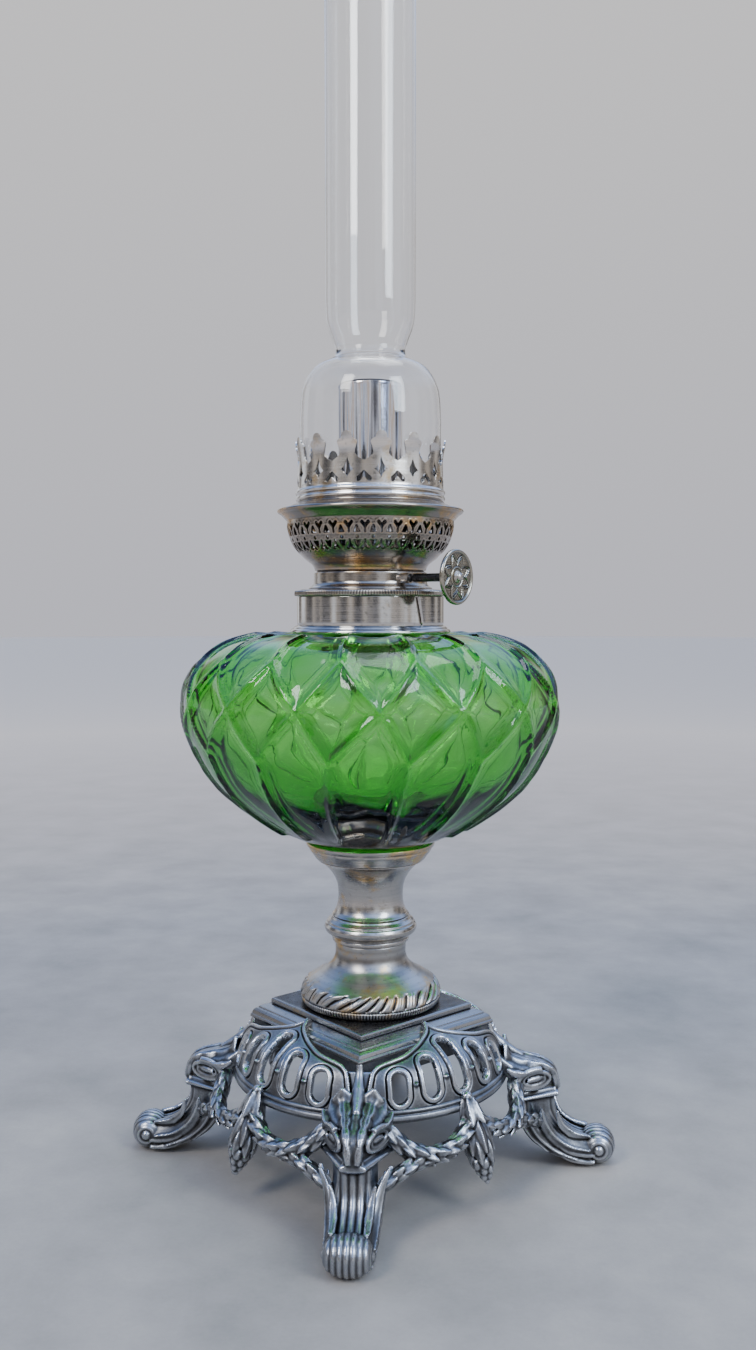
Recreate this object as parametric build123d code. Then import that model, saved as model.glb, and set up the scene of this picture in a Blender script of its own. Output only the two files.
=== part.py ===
from build123d import *
import os
from math import cos, pi, radians, sin

# Kerosene table lamp with a round-wick burner. Millimetres, +Z up.
# The origin is on the ground under the middle of the lamp. The four legs stand along
# the X and Y axes, and the front leg is the one at -Y.

# ---------------------------------------------------------------- driving dimensions
LEG_ANGLES = {"front": 0, "right": 90, "rear": 180, "left": 270}
FACE_ANGLES = {"front_right": 45, "rear_right": 135, "rear_left": 225, "front_left": 315}

RAIL_RADIUS = 51.5        # bead round the foot of the pierced dome
RAIL_HEIGHT = 34.9
BEAD_RADIUS = 1.6
DOME_WALL = 2.2
PLINTH_HALF = 32.6        # half the side of the square plinth
PLINTH_WALL = 2.6
PLATE_HALF = 27.4         # half the side of the dark plate on the plinth
DECK_BOTTOM = 54.0
PLATE_BOTTOM = 57.6
PLATE_TOP = 60.0
SWAG_RADIUS = 2.7

ROD_RADIUS = 3.0
ROD_CLEARANCE = 0.2
STEM_FOOT_TOP = 83.7
KNOP_TOP = 93.6
VASE_TOP = 115.1
CUP_FLOOR_TOP = 117.0
CUP_TOP = 121.9

FONT_BOTTOM = 120.6
SHOULDER_HEIGHT = 200.6
NECK_TOP = 206.0
NECK_OUTER = 23.8
NECK_INNER = 21.0

COLLAR_BORE = 25.5
COLLAR_TOP = 214.5
THREAD_CLEARANCE = 0.08
DRUM_BOTTOM = 217.3
DRUM_TOP = 224.0
DRUM_RADIUS = 21.3
DRUM_WALL = 0.7
BASKET_BOTTOM = 224.2
BASKET_TOP = 242.5
MOTIF_COUNT = 33          # piercings round the basket
CROWN_BOTTOM = 249.3
CROWN_TOP = 272.7
CROWN_INNER = 26.7
CROWN_WALL = 0.6
PRONG_COUNT = 14
PRONG_PHASE = -10.3       # angle of one prong from the front, towards +X
AIR_PLATE_BOTTOM = 248.5
AIR_PLATE_TOP = 249.3

TUBE_TOP = 293.0
OUTER_TUBE = (11.5, 12.0)
INNER_TUBE = (8.0, 8.5)
INNER_TUBE_BOTTOM = 242.5
WICK_RING = (8.8, 11.2)
WICK_TOP = 293.8
WICK_RING_BOTTOM = 230.5
WICK_TAIL_BOTTOM = 190.0
WICK_TAIL_TOP = 233.0
WICK_TAIL_HALF = 10.0
WICK_TAIL_NEAR = 2.2      # distances of the flat tail's faces from the burner's axis
WICK_TAIL_FAR = 4.4
WICK_GAP = 2.8
WEB_WIDTH = 1.6

SHAFT_ANGLE = 33.0        # the shaft points this far from +X towards the front
SHAFT_OFFSET = 7.5        # distance of the shaft from the burner's axis
SHAFT_HEIGHT = 221.0
SHAFT_RADIUS = 1.5
SHAFT_INNER_END = -14.0
BEARING_CLEARANCE = 0.05
GLAND_RADIUS = 2.0
GLAND_SPAN = (18.6, 24.0)
BEARING_SPAN = (-13.2, -12.2)
FEED_WHEEL_SEATS = (-6.7, 5.3)
FEED_WHEEL_WIDTH = 1.4
FEED_WHEEL_TIP = 2.9
FEED_WHEEL_ROOT = 2.2
FEED_WHEEL_TEETH = 12
KNOB_SEAT = 42.9
KNOB_RADIUS = 9.75
KNOB_THICKNESS = 1.3

CHIMNEY_BOTTOM = 249.6
CHIMNEY_TOP = 510.0
CHIMNEY_WALL = 1.5
CHIMNEY_FITTER = 26.4     # radius of the standard 53 mm fitter
CHIMNEY_TUBE = 16.8


# ---------------------------------------------------------------- helpers
def turned(*outline):
    """Solid of revolution about Z from a closed outline of (radius, height) points."""
    edges = Polyline([(r, 0, z) for r, z in outline], close=True)
    return revolve(make_face(edges), Axis.Z)


def turned_shell(outer, inner):
    """Solid of revolution between two smooth curves of (radius, height) points."""
    first = Spline([(r, 0, z) for r, z in outer])
    second = Spline([(r, 0, z) for r, z in inner])
    ends = Line(first @ 0, second @ 0), Line(first @ 1, second @ 1)
    return revolve(make_face([first, second, *ends]), Axis.Z)


def tube(inner, outer, bottom, top):
    """Plain tube about Z."""
    return turned((inner, bottom), (outer, bottom), (outer, top), (inner, top))


def rod_hole(bottom, top):
    """Cutter for the tie rod's clearance hole."""
    radius = ROD_RADIUS + ROD_CLEARANCE
    return turned((0, bottom), (radius, bottom), (radius, top), (0, top))


def square_tower(*outline):
    """Square stack about Z, ruled between (half side, height) steps."""
    steps = [Plane.XY.offset(z) * Rectangle(2 * h, 2 * h) for h, z in outline]
    return loft(steps, ruled=True).rotate(Axis.Z, 45)


def facing(angle, distance=0.0, height=0.0):
    """Plane whose normal is horizontal, at an angle from -Y towards +X, with its x
    axis level and its y axis up."""
    out = Vector(sin(radians(angle)), -cos(radians(angle)), 0)
    side = Vector(cos(radians(angle)), sin(radians(angle)), 0)
    origin = out * distance + Vector(0, 0, height)
    return Plane(origin=origin, x_dir=side, z_dir=out)


def cylindrical(radius, angle, height):
    """Point at an angle from -Y towards +X."""
    return Vector(radius * sin(radians(angle)), -radius * cos(radians(angle)), height)


def shaft_plane(along=0.0):
    """Plane across the wick shaft, its normal towards the knob."""
    a = radians(SHAFT_ANGLE)
    normal = Vector(cos(a), -sin(a), 0)
    out = Vector(-sin(a), -cos(a), 0)
    origin = out * SHAFT_OFFSET + normal * along + Vector(0, 0, SHAFT_HEIGHT)
    return Plane(origin=origin, x_dir=out, z_dir=normal)


def along_shaft(*outline):
    """Turned piece on the shaft's line from (radius, distance along) points."""
    return shaft_plane().location * turned(*outline)


def across_axis(half_width, near, far, bottom, top):
    """Block parallel to the shaft, between two distances in front of the axis."""
    face = Rectangle(far - near, 2 * half_width)
    plane = shaft_plane()
    level = Plane(origin=(0, 0, bottom), x_dir=plane.x_dir, z_dir=(0, 0, 1))
    middle = level.location * Pos((near + far) / 2, 0, 0)
    return extrude(middle * face, top - bottom)


# ---------------------------------------------------------------- cast base
def dome_outline(inset):
    """Side curve of the dome, moved in by an inset, from the rail up."""
    return [(RAIL_RADIUS - inset, RAIL_HEIGHT), (47.6 - 0.75 * inset, 48.8 - 0.65 * inset),
            (31.0 - 0.2 * inset, 57.6 - inset)]


def dome_body():
    """Everything inside the dome's outer surface, as a cutter."""
    start, middle, end = [(r, 0, z) for r, z in dome_outline(0)]
    walls = [ThreePointArc(start, middle, end), Polyline(end, (0, 0, end[2]),
             (0, 0, start[2]), start)]
    return revolve(make_face(walls), Axis.Z)


def rail_bead():
    """Round bead along the foot of the dome."""
    section = Pos(RAIL_RADIUS - 0.9, 0, RAIL_HEIGHT) * (Plane.XZ * Circle(BEAD_RADIUS))
    return revolve(section, Axis.Z)


def pierced_dome(plinth_body):
    """Bulging skirt with a bead at its foot and five rounded openings in each face."""
    a, b, c = [(r, 0, z) for r, z in dome_outline(0)]
    d, e, f = [(r, 0, z) for r, z in dome_outline(DOME_WALL)]
    curves = [ThreePointArc(a, b, c), ThreePointArc(d, e, f), Line(a, d), Line(c, f)]
    shell = revolve(make_face(curves), Axis.Z) + rail_bead()
    openings = []
    for face in FACE_ANGLES.values():
        for turn, low, high in ((-28.5, 39.6, 49.6), (-14.5, 40.4, 52.6), (0, 40.6, 55.4),
                                (14.5, 40.4, 52.6), (28.5, 39.6, 49.6)):
            slot = SlotOverall(high - low, 5.8, rotation=90)
            plane = facing(face + turn, 24, (low + high) / 2)
            openings.append(extrude(plane * slot, 36))
    return shell - openings - plinth_body


def plinth_envelope():
    """Outer shape of the plinth with its neck, before it is hollowed."""
    return square_tower((PLINTH_HALF, 44.5), (PLINTH_HALF, 52.0), (PLINTH_HALF + 0.6, 53.2),
                        (PLINTH_HALF + 0.6, 54.6), (PLINTH_HALF - 1.4, 55.9),
                        (PLATE_HALF + 1.2, 56.6), (PLATE_HALF + 0.8, PLATE_BOTTOM))


def plinth(envelope):
    """Square moulded plinth, hollow below its deck."""
    inside = PLINTH_HALF - PLINTH_WALL
    cavity = square_tower((inside, 44.0), (inside, DECK_BOTTOM))
    return envelope - cavity - rod_hole(DECK_BOTTOM - 1, PLATE_BOTTOM + 1)


def plinth_plate():
    """Dark flat plate under the stem."""
    plate = square_tower((PLATE_HALF, PLATE_BOTTOM), (PLATE_HALF, PLATE_TOP - 0.4),
                         (PLATE_HALF - 0.4, PLATE_TOP))
    return plate - rod_hole(PLATE_BOTTOM - 1, PLATE_TOP + 1)


def leg(angle, keep_out):
    """Scrolled leg: a wedge-shaped volute block, a cap and an outswept curled foot."""
    block_side = [(44, 48), (49.5, 43.2), (54, 41.4), (60, 40.8), (65, 39), (68.6, 35),
                  (69.9, 30), (69.3, 26.2), (71.6, 25.4), (71.6, 24.2), (69.4, 23),
                  (57, 23), (56.4, 33.5), (53, 35.6), (44, 36)]
    shank_side = [(57, 23), (69.4, 23), (70, 19.6), (72, 16), (77, 13), (81.5, 12.8),
                  (84.5, 15.2), (88, 15.7), (91.6, 13.4), (93.3, 9.5), (92.6, 5),
                  (90, 1.6), (87, 0), (79, 0), (73.5, 1.6), (66, 7), (57.5, 13.6)]
    block_plan = [(44, -11.6), (48, -10.6), (70.6, -4.4), (72, -3.6), (72, 3.6),
                  (70.6, 4.4), (48, 10.6), (44, 11.6)]
    shank_plan = [(56, -9.4), (66, -8.2), (75, -7.4), (86, -7.6), (91.5, -6.2), (94, -3.4),
                  (94, 3.4), (91.5, 6.2), (86, 7.6), (75, 7.4), (66, 8.2), (56, 9.4)]
    parts = []
    for side, plan in ((block_side, block_plan), (shank_side, shank_plan)):
        profile = make_face(Polyline([(x, 0, z) for x, z in side], close=True))
        footprint = make_face(Polyline([(x, y, 0) for x, y in plan], close=True))
        slab = extrude(profile, 13, dir=(0, 1, 0), both=True)
        parts.append(slab & extrude(footprint, 50))
    body = (parts[0] + parts[1]).rotate(Axis.Z, angle - 90)
    return body - keep_out


def tassel(angle):
    """Husk that hangs outwards from the rail at the middle of a face."""
    top = cylindrical(51.8, angle, 38.5)
    tip = cylindrical(63.0, angle, 11.0)
    length = (tip - top).length
    husk = turned((0, 0), (1.8, 0), (3.6, 0.3 * length), (3.2, 0.6 * length),
                  (4.6, 0.78 * length), (1.6, length), (0, length))
    return Plane(origin=top, z_dir=tip - top).location * husk


def swag(angle, side):
    """Festoon between a leg and the tassel, on one side of a face."""
    start = cylindrical(57.5, angle + side * 35.5, 34.5)
    low = cylindrical(58.5, angle + side * 18.0, 25.2)
    end = cylindrical(55.0, angle + side * 1.0, 30.5)
    path = ThreePointArc(start, low, end)
    section = Plane(origin=start, z_dir=path % 0) * Circle(SWAG_RADIUS)
    return sweep(section, path)


def garland(angle, keep_out):
    """Two festoons and the tassel of one face."""
    return tassel(angle) + swag(angle, -1) + swag(angle, 1) - keep_out


# ---------------------------------------------------------------- stem
def stem_foot():
    """Foot bead with its hollow flare."""
    return turned_shell(
        [(25.4, PLATE_TOP), (26.3, 63.4), (24.6, 68.2), (18.8, 71.9), (14.2, 75.7),
         (13.3, 80.0), (13.8, STEM_FOOT_TOP)],
        [(23.4, PLATE_TOP), (24.0, 63.6), (22.4, 66.6), (17.6, 69.6), (12.6, 74.6),
         (11.6, 79.6), (11.8, STEM_FOOT_TOP)])


def stem_knop():
    """Rounded knop."""
    return turned_shell(
        [(13.8, STEM_FOOT_TOP), (17.1, 87.2), (17.1, 90.9), (14.8, KNOP_TOP)],
        [(11.8, STEM_FOOT_TOP), (14.6, 87.4), (14.6, 90.6), (12.6, KNOP_TOP)])


def stem_vase():
    """Waisted upper stem."""
    return turned_shell(
        [(14.8, KNOP_TOP), (12.5, 97.6), (12.4, 102.8), (14.6, 109.8), (20.3, VASE_TOP)],
        [(12.6, KNOP_TOP), (10.7, 97.6), (10.6, 103.2), (12.8, 110.6), (17.5, VASE_TOP)])


def font_cup():
    """Cup with a floor that carries the font."""
    return turned((ROD_RADIUS + ROD_CLEARANCE, VASE_TOP), (20.3, VASE_TOP), (22.3, 117.5),
                  (23.6, 119.8), (24.4, CUP_TOP), (23.4, CUP_TOP), (22.4, 119.8),
                  (21.2, CUP_FLOOR_TOP), (ROD_RADIUS + ROD_CLEARANCE, CUP_FLOOR_TOP))


def hex_nut(across_flats, bottom, top):
    """Nut on the tie rod."""
    blank = extrude(Plane.XY.offset(bottom) * RegularPolygon(across_flats / 2, 6,
                    major_radius=False), top - bottom)
    return blank - extrude(Plane.XY.offset(bottom) * Circle(ROD_RADIUS), top - bottom)


# ---------------------------------------------------------------- font
def font():
    """Blown glass oil font with a short neck, open at the top."""
    outer = Spline([(0, 0, FONT_BOTTOM), (20, 0, 121.8), (38.3, 0, 128.8), (57.6, 0, 144),
                    (68.4, 0, 163), (70.5, 0, 176), (66.6, 0, 187), (56.6, 0, 196.3),
                    (44, 0, 200.2), (31, 0, SHOULDER_HEIGHT)],
                   tangents=[(1, 0, 0), (-1, 0, 0)])
    inner = Spline([(0, 0, 124.6), (20, 0, 125.6), (36.6, 0, 131.8), (55.2, 0, 146.2),
                    (65.5, 0, 163.8), (67.5, 0, 175.6), (64, 0, 185), (54.8, 0, 193.4),
                    (43.4, 0, 197.2), (31, 0, SHOULDER_HEIGHT - 3), (NECK_INNER, 0, 197.6)],
                   tangents=[(1, 0, 0), (-1, 0, 0)])
    neck = Polyline(outer @ 1, (NECK_OUTER, 0, SHOULDER_HEIGHT), (NECK_OUTER, 0, NECK_TOP),
                    (NECK_INNER, 0, NECK_TOP), inner @ 1)
    return revolve(make_face([outer, neck, inner, Line(outer @ 0, inner @ 0)]), Axis.Z)


def cup_plaster(*neighbours):
    """Plaster bed that fills the cup round the font, the nut and the rod's end."""
    bed = turned((0, CUP_FLOOR_TOP), (21.2, CUP_FLOOR_TOP), (22.4, 119.8), (22.9, 120.85),
                 (0, 120.85))
    for piece in neighbours:
        bed -= piece
    return bed


def collar_plaster():
    """Plaster ring between the glass neck and the collar."""
    return tube(NECK_OUTER, COLLAR_BORE, SHOULDER_HEIGHT, NECK_TOP - 0.4)


def font_collar():
    """Brass collar with a flange below and the female thread's bore above."""
    return turned((COLLAR_BORE, 200.8), (30.0, 200.8), (30.0, 203.4), (28.3, 204.2),
                  (27.6, 205.2), (27.6, COLLAR_TOP), (COLLAR_BORE, COLLAR_TOP))


# ---------------------------------------------------------------- burner
def burner_screw():
    """Threaded sleeve and knurled rim that screw into the collar."""
    sleeve = COLLAR_BORE - THREAD_CLEARANCE
    rim_bottom = COLLAR_TOP + 0.1
    return turned((23.5, 207.0), (sleeve, 207.0), (sleeve, rim_bottom), (28.5, rim_bottom),
                  (28.5, 216.5), (27.8, 216.9), (22.6, DRUM_BOTTOM), (19.6, DRUM_BOTTOM),
                  (19.6, 216.3), (23.5, 215.6))


def burner_drum():
    """Low round housing of the wick feed, with a floor and a hole for the gland."""
    inside = DRUM_RADIUS - DRUM_WALL
    floor_top = DRUM_BOTTOM + 0.8
    can = turned((0, DRUM_BOTTOM), (22.4, DRUM_BOTTOM), (22.4, floor_top),
                 (DRUM_RADIUS, floor_top + 0.6), (DRUM_RADIUS, DRUM_TOP),
                 (inside, DRUM_TOP), (inside, floor_top), (0, floor_top))
    wick_slot = across_axis(WICK_TAIL_HALF + 0.8, WICK_TAIL_NEAR - 1.0, 11.6,
                            DRUM_BOTTOM - 1, floor_top + 1)
    gland_hole = along_shaft((0, 10), (GLAND_RADIUS, 10), (GLAND_RADIUS, 30), (0, 30))
    return can - wick_slot - gland_hole


def basket_cutter(angle, points):
    """Radial prism through the basket wall from (sideways, height) points."""
    outline = make_face(Polyline([(x, y, 0) for x, y in points], close=True))
    return extrude(facing(angle, 15) * outline, 20)


def basket():
    """Pierced air basket with a floor ring."""
    shell = turned_shell(
        [(20.6, BASKET_BOTTOM), (24.6, 228.6), (28.9, 233.4), (30.9, 238.6),
         (31.5, BASKET_TOP)],
        [(19.4, BASKET_BOTTOM + 0.8), (23.7, 229.0), (27.9, 233.7), (29.9, 238.7),
         (30.6, BASKET_TOP)])
    floor = tube(OUTER_TUBE[1], 20.0, BASKET_BOTTOM, BASKET_BOTTOM + 0.8)
    pitch = 360 / MOTIF_COUNT
    cutters = []
    for i in range(MOTIF_COUNT):
        notch = [(0, 236.8), (1.9, 240.8), (-1.9, 240.8)]
        drop = [(0, 230.0), (1.7, 233.9), (-1.7, 233.9)]
        cutters.append(basket_cutter(i * pitch, notch))
        cutters.append(basket_cutter((i + 0.5) * pitch, drop))
    return shell + floor - cutters


def gallery_rim():
    """Rolled rim between the basket and the crown."""
    return turned((30.6, BASKET_TOP), (31.5, BASKET_TOP), (33.2, 243.7), (34.5, 245.1),
                  (34.9, 246.3), (34.4, 247.2), (32.0, 247.9), (28.9, 248.5),
                  (27.9, CROWN_BOTTOM), (CROWN_INNER, CROWN_BOTTOM),
                  (CROWN_INNER, AIR_PLATE_BOTTOM), (28.4, 247.5), (31.8, 246.9),
                  (33.4, 246.1), (32.2, 244.7))


def crown():
    """Chimney holder: a ring of sprung prongs over a beaded band, with star piercings."""
    outer = CROWN_INNER + CROWN_WALL
    wall = tube(CROWN_INNER, outer, CROWN_BOTTOM, CROWN_TOP)
    band = turned((CROWN_INNER, CROWN_BOTTOM), (27.7, CROWN_BOTTOM), (27.9, 250.6),
                  (27.4, 251.5), (27.9, 252.4), (27.5, 253.7), (CROWN_INNER, 253.7))
    half_pitch = pi * outer / PRONG_COUNT
    valley = [(0, 262.2), (3.2, 264.5), (2.3, 269.2), (half_pitch - 2.0, 270.3),
              (half_pitch - 1.5, 271.9), (half_pitch, CROWN_TOP), (half_pitch, 274)]
    valley += [(-x, z) for x, z in reversed(valley[1:])]
    star = [(0, 256.8), (0.6, 259.5), (2.4, 260.2), (0.6, 260.9), (0, 263.6),
            (-0.6, 260.9), (-2.4, 260.2), (-0.6, 259.5)]
    heart = [(0, 255.0), (2.7, 257.4), (1.4, 258.5), (0, 257.5), (-1.4, 258.5),
             (-2.7, 257.4)]
    pitch = 360 / PRONG_COUNT
    cutters = []
    for i in range(PRONG_COUNT):
        prong = PRONG_PHASE + i * pitch
        cutters.append(basket_cutter(prong, star))
        for shape in (valley, heart):
            cutters.append(basket_cutter(prong + pitch / 2, shape))
    return wall + band - cutters


def air_plate():
    """Perforated plate that the chimney stands on."""
    plate = tube(OUTER_TUBE[1], CROWN_INNER, AIR_PLATE_BOTTOM, AIR_PLATE_TOP)
    holes = []
    for ring_radius, count, hole_radius in ((19.5, 30, 1.3), (15.5, 24, 1.1)):
        pin = turned((0, AIR_PLATE_BOTTOM - 1), (hole_radius, AIR_PLATE_BOTTOM - 1),
                     (hole_radius, AIR_PLATE_TOP + 1), (0, AIR_PLATE_TOP + 1))
        holes += [place * pin for place in PolarLocations(ring_radius, count)]
    return plate - holes


def outer_wick_tube():
    """Bright tube round the wick."""
    return tube(*OUTER_TUBE, BASKET_BOTTOM, TUBE_TOP)


def wick_tube_web(inner_radius, width, bottom, top):
    """Blade at the back of the wick tube, from the inner tube to the outer one."""
    blade = across_axis(width / 2, -OUTER_TUBE[1], -inner_radius, bottom, top)
    return blade & tube(inner_radius, OUTER_TUBE[0], bottom, top)


def inner_air_tube():
    """Central draught tube, held by a blade that passes through the wick's gap."""
    web = wick_tube_web(INNER_TUBE[0] + 0.2, WEB_WIDTH, INNER_TUBE_BOTTOM, TUBE_TOP - 3)
    return tube(*INNER_TUBE, INNER_TUBE_BOTTOM, TUBE_TOP) + web


def wick():
    """Woven wick: rolled round the draught tube above, flat where the wheels grip it."""
    ring = tube(*WICK_RING, WICK_RING_BOTTOM, WICK_TOP)
    gap = across_axis(WICK_GAP / 2, -13, -6, WICK_RING_BOTTOM - 1, WICK_TOP + 1)
    tail = across_axis(WICK_TAIL_HALF, WICK_TAIL_NEAR, WICK_TAIL_FAR, WICK_TAIL_BOTTOM,
                       WICK_TAIL_TOP)
    return (ring - gap) + tail


# ---------------------------------------------------------------- wick feed
def shaft_gland():
    """Short bush that carries the shaft through the drum wall."""
    bore = SHAFT_RADIUS + BEARING_CLEARANCE
    start, end = GLAND_SPAN
    return along_shaft((bore, start), (GLAND_RADIUS, start), (GLAND_RADIUS, end),
                       (bore, end))


def shaft_bearing():
    """Upright tab on the drum floor that carries the shaft's inner end."""
    start, end = BEARING_SPAN
    bottom = DRUM_BOTTOM + 0.8
    height = SHAFT_HEIGHT + 2.6 - bottom
    tab = shaft_plane(start).location * extrude(Rectangle(6.0, 5.2), end - start)
    bore = SHAFT_RADIUS + BEARING_CLEARANCE
    hole = along_shaft((0, start - 1), (bore, start - 1), (bore, end + 1), (0, end + 1))
    floor_cut = Pos(0, 0, bottom - height) * Box(60, 60, 2 * height)
    return tab - hole - floor_cut


def wick_shaft():
    """Steel shaft from the inner bearing to the knob."""
    end = KNOB_SEAT + KNOB_THICKNESS
    return along_shaft((0, SHAFT_INNER_END), (SHAFT_RADIUS, SHAFT_INNER_END),
                       (SHAFT_RADIUS, end), (0, end))


def feed_wheel(seat):
    """Toothed wheel that drives the wick."""
    points = []
    for i in range(2 * FEED_WHEEL_TEETH):
        radius = FEED_WHEEL_TIP if i % 2 == 0 else FEED_WHEEL_ROOT
        turn = pi * i / FEED_WHEEL_TEETH
        points.append((radius * cos(turn), radius * sin(turn)))
    outline = make_face(Polyline(*points, close=True)) - Circle(SHAFT_RADIUS)
    return extrude(shaft_plane(seat) * outline, FEED_WHEEL_WIDTH)


def knob():
    """Round knob with a raised rim and a small hub."""
    back = KNOB_SEAT
    front = KNOB_SEAT + KNOB_THICKNESS
    return along_shaft((SHAFT_RADIUS, back - 1.2), (3.0, back - 1.2), (3.4, back),
                       (KNOB_RADIUS - 0.4, back), (KNOB_RADIUS, back + 0.3),
                       (KNOB_RADIUS, front + 0.3), (KNOB_RADIUS - 0.8, front + 0.5),
                       (KNOB_RADIUS - 1.4, front), (SHAFT_RADIUS, front))


def knob_rivet():
    """Domed nut at the middle of the knob."""
    base = KNOB_SEAT + KNOB_THICKNESS
    return along_shaft((0, base), (2.4, base), (2.4, base + 0.7), (1.7, base + 1.5),
                       (0.7, base + 1.9), (0, base + 1.9))


# ---------------------------------------------------------------- chimney
def chimney():
    """Clear glass chimney: fitter, shoulder, tight waist and long tube."""
    shoulder = [(CHIMNEY_FITTER, 281), (25.4, 291.6), (21.2, 299), (14.6, 302.6),
                (13.0, 305.6), (13.8, 309), (16.2, 316), (CHIMNEY_TUBE, 324)]
    inner_shoulder = [(CHIMNEY_FITTER - CHIMNEY_WALL, 281), (23.9, 291), (20.1, 297.8),
                      (13.8, 301.4), (11.5, 305.6), (12.4, 309.4), (14.7, 316.3),
                      (CHIMNEY_TUBE - CHIMNEY_WALL, 324)]
    up = [(0, 0, 1), (0, 0, 1)]
    outer = Spline([(r, 0, z) for r, z in shoulder], tangents=up)
    inner = Spline([(r, 0, z) for r, z in inner_shoulder], tangents=up)
    foot = Polyline(outer @ 0, (CHIMNEY_FITTER, 0, CHIMNEY_BOTTOM),
                    (CHIMNEY_FITTER - CHIMNEY_WALL, 0, CHIMNEY_BOTTOM), inner @ 0)
    mouth = Polyline(outer @ 1, (CHIMNEY_TUBE, 0, CHIMNEY_TOP),
                     (CHIMNEY_TUBE - CHIMNEY_WALL, 0, CHIMNEY_TOP), inner @ 1)
    return revolve(make_face([outer, mouth, inner, foot]), Axis.Z)


# ---------------------------------------------------------------- assembly
def base_nodes():
    """Cast base: plinth, dome, legs and garlands, which meet face to face."""
    envelope = plinth_envelope()
    dome = pierced_dome(envelope)
    inner_side = dome_body() + envelope + rail_bead()
    nodes = {"plinth": plinth(envelope), "pierced_dome": dome,
             "plinth_plate": plinth_plate()}
    legs = {f"leg_{name}": leg(angle, inner_side) for name, angle in LEG_ANGLES.items()}
    all_legs = Compound(list(legs.values()))
    nodes.update(legs)
    for name, angle in FACE_ANGLES.items():
        nodes[f"garland_{name}"] = garland(angle, inner_side) - all_legs
    return nodes


def stem_nodes():
    """Stem shells, the rod through them, its fixings and the font."""
    rod = turned((0, 45.6), (ROD_RADIUS, 45.6), (ROD_RADIUS, 119.9), (0, 119.9))
    cup_nut = hex_nut(10.0, CUP_FLOOR_TOP, 119.6)
    glass = font()
    cup = font_cup()
    return {
        "stem_foot": stem_foot(),
        "stem_knop": stem_knop(),
        "stem_vase": stem_vase(),
        "font_cup": cup,
        "tie_rod": rod,
        "base_washer": tube(ROD_RADIUS + ROD_CLEARANCE, 9.0, DECK_BOTTOM - 1.2, DECK_BOTTOM),
        "base_nut": hex_nut(10.0, 47.6, DECK_BOTTOM - 1.2),
        "cup_nut": cup_nut,
        "cup_plaster": cup_plaster(glass, cup, cup_nut, rod),
        "font": glass,
        "collar_plaster": collar_plaster(),
        "font_collar": font_collar(),
    }


def burner_nodes():
    """Burner, its wick feed and the wick."""
    nodes = {
        "burner_screw": burner_screw(),
        "burner_drum": burner_drum(),
        "air_basket": basket(),
        "gallery_rim": gallery_rim(),
        "crown": crown(),
        "air_plate": air_plate(),
        "outer_wick_tube": outer_wick_tube(),
        "inner_air_tube": inner_air_tube(),
        "shaft_gland": shaft_gland(),
        "shaft_bearing": shaft_bearing(),
        "wick_shaft": wick_shaft(),
        "knob": knob(),
        "knob_rivet": knob_rivet(),
        "wick": wick(),
    }
    for number, seat in enumerate(FEED_WHEEL_SEATS, start=1):
        nodes[f"feed_wheel_{number}"] = feed_wheel(seat)
    return nodes


def main():
    os.makedirs("parts", exist_ok=True)
    nodes = {**base_nodes(), **stem_nodes(), **burner_nodes(), "chimney": chimney()}
    for name, solid in nodes.items():
        export_step(solid, f"parts/{name}.step")
    print(len(nodes), "nodes written")


main()
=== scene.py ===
import bmesh
import bpy
import numpy as np
from math import cos, pi, radians, sin, tau
from mathutils import Matrix, Vector


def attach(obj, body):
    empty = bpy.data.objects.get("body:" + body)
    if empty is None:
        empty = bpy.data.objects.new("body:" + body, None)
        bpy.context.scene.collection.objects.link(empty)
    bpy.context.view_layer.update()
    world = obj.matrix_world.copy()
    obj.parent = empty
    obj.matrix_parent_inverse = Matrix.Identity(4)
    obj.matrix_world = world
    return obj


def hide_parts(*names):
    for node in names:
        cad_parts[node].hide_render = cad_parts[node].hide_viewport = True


# Kerosene table lamp with a round-wick burner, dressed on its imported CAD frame.
# Shapes are worked out in millimetres in the CAD's frame and stored in metres.
# Angles round the lamp run from the front, -Y, towards +X.

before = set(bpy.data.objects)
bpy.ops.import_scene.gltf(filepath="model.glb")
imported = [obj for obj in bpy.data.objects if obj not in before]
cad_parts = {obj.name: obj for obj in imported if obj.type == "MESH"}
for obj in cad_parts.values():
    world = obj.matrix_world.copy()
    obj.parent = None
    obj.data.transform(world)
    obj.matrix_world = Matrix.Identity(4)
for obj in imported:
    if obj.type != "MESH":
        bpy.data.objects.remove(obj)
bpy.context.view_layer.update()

MM = 0.001
FILLET_STEPS = 4
WHOLE = 999.0    # a step that leaves every line whole
CAVITY_SPREAD = 0.6
LEG_ANGLES = {"front": 0, "right": 90, "rear": 180, "left": 270}
FACE_ANGLES = {"front_right": 45, "rear_right": 135, "rear_left": 225, "front_left": 315}


# ---------------------------------------------------------------- curves
def smooth_line(points, per_span=8):
    """Smooth open curve through points of any dimension."""
    p = np.asarray(points, float)
    padded = np.vstack([2 * p[0] - p[1], p, 2 * p[-1] - p[-2]])
    t = np.linspace(0, 1, per_span, endpoint=False)[:, None]
    spans = []
    for i in range(len(p) - 1):
        a, b, c, d = padded[i:i + 4]
        bend = 2 * a - 5 * b + 4 * c - d
        twist = 3 * b - a - 3 * c + d
        spans.append(0.5 * (2 * b + (c - a) * t + bend * t ** 2 + twist * t ** 3))
    return np.vstack([*spans, p[-1:]])


def evenly(line, count):
    """The same line with count points, evenly spaced along it."""
    steps = np.linalg.norm(np.diff(line, axis=0), axis=1)
    run = np.concatenate([[0], np.cumsum(steps)])
    at = np.linspace(0, run[-1], count)
    return np.stack([np.interp(at, run, line[:, k]) for k in range(line.shape[1])], 1)


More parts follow.
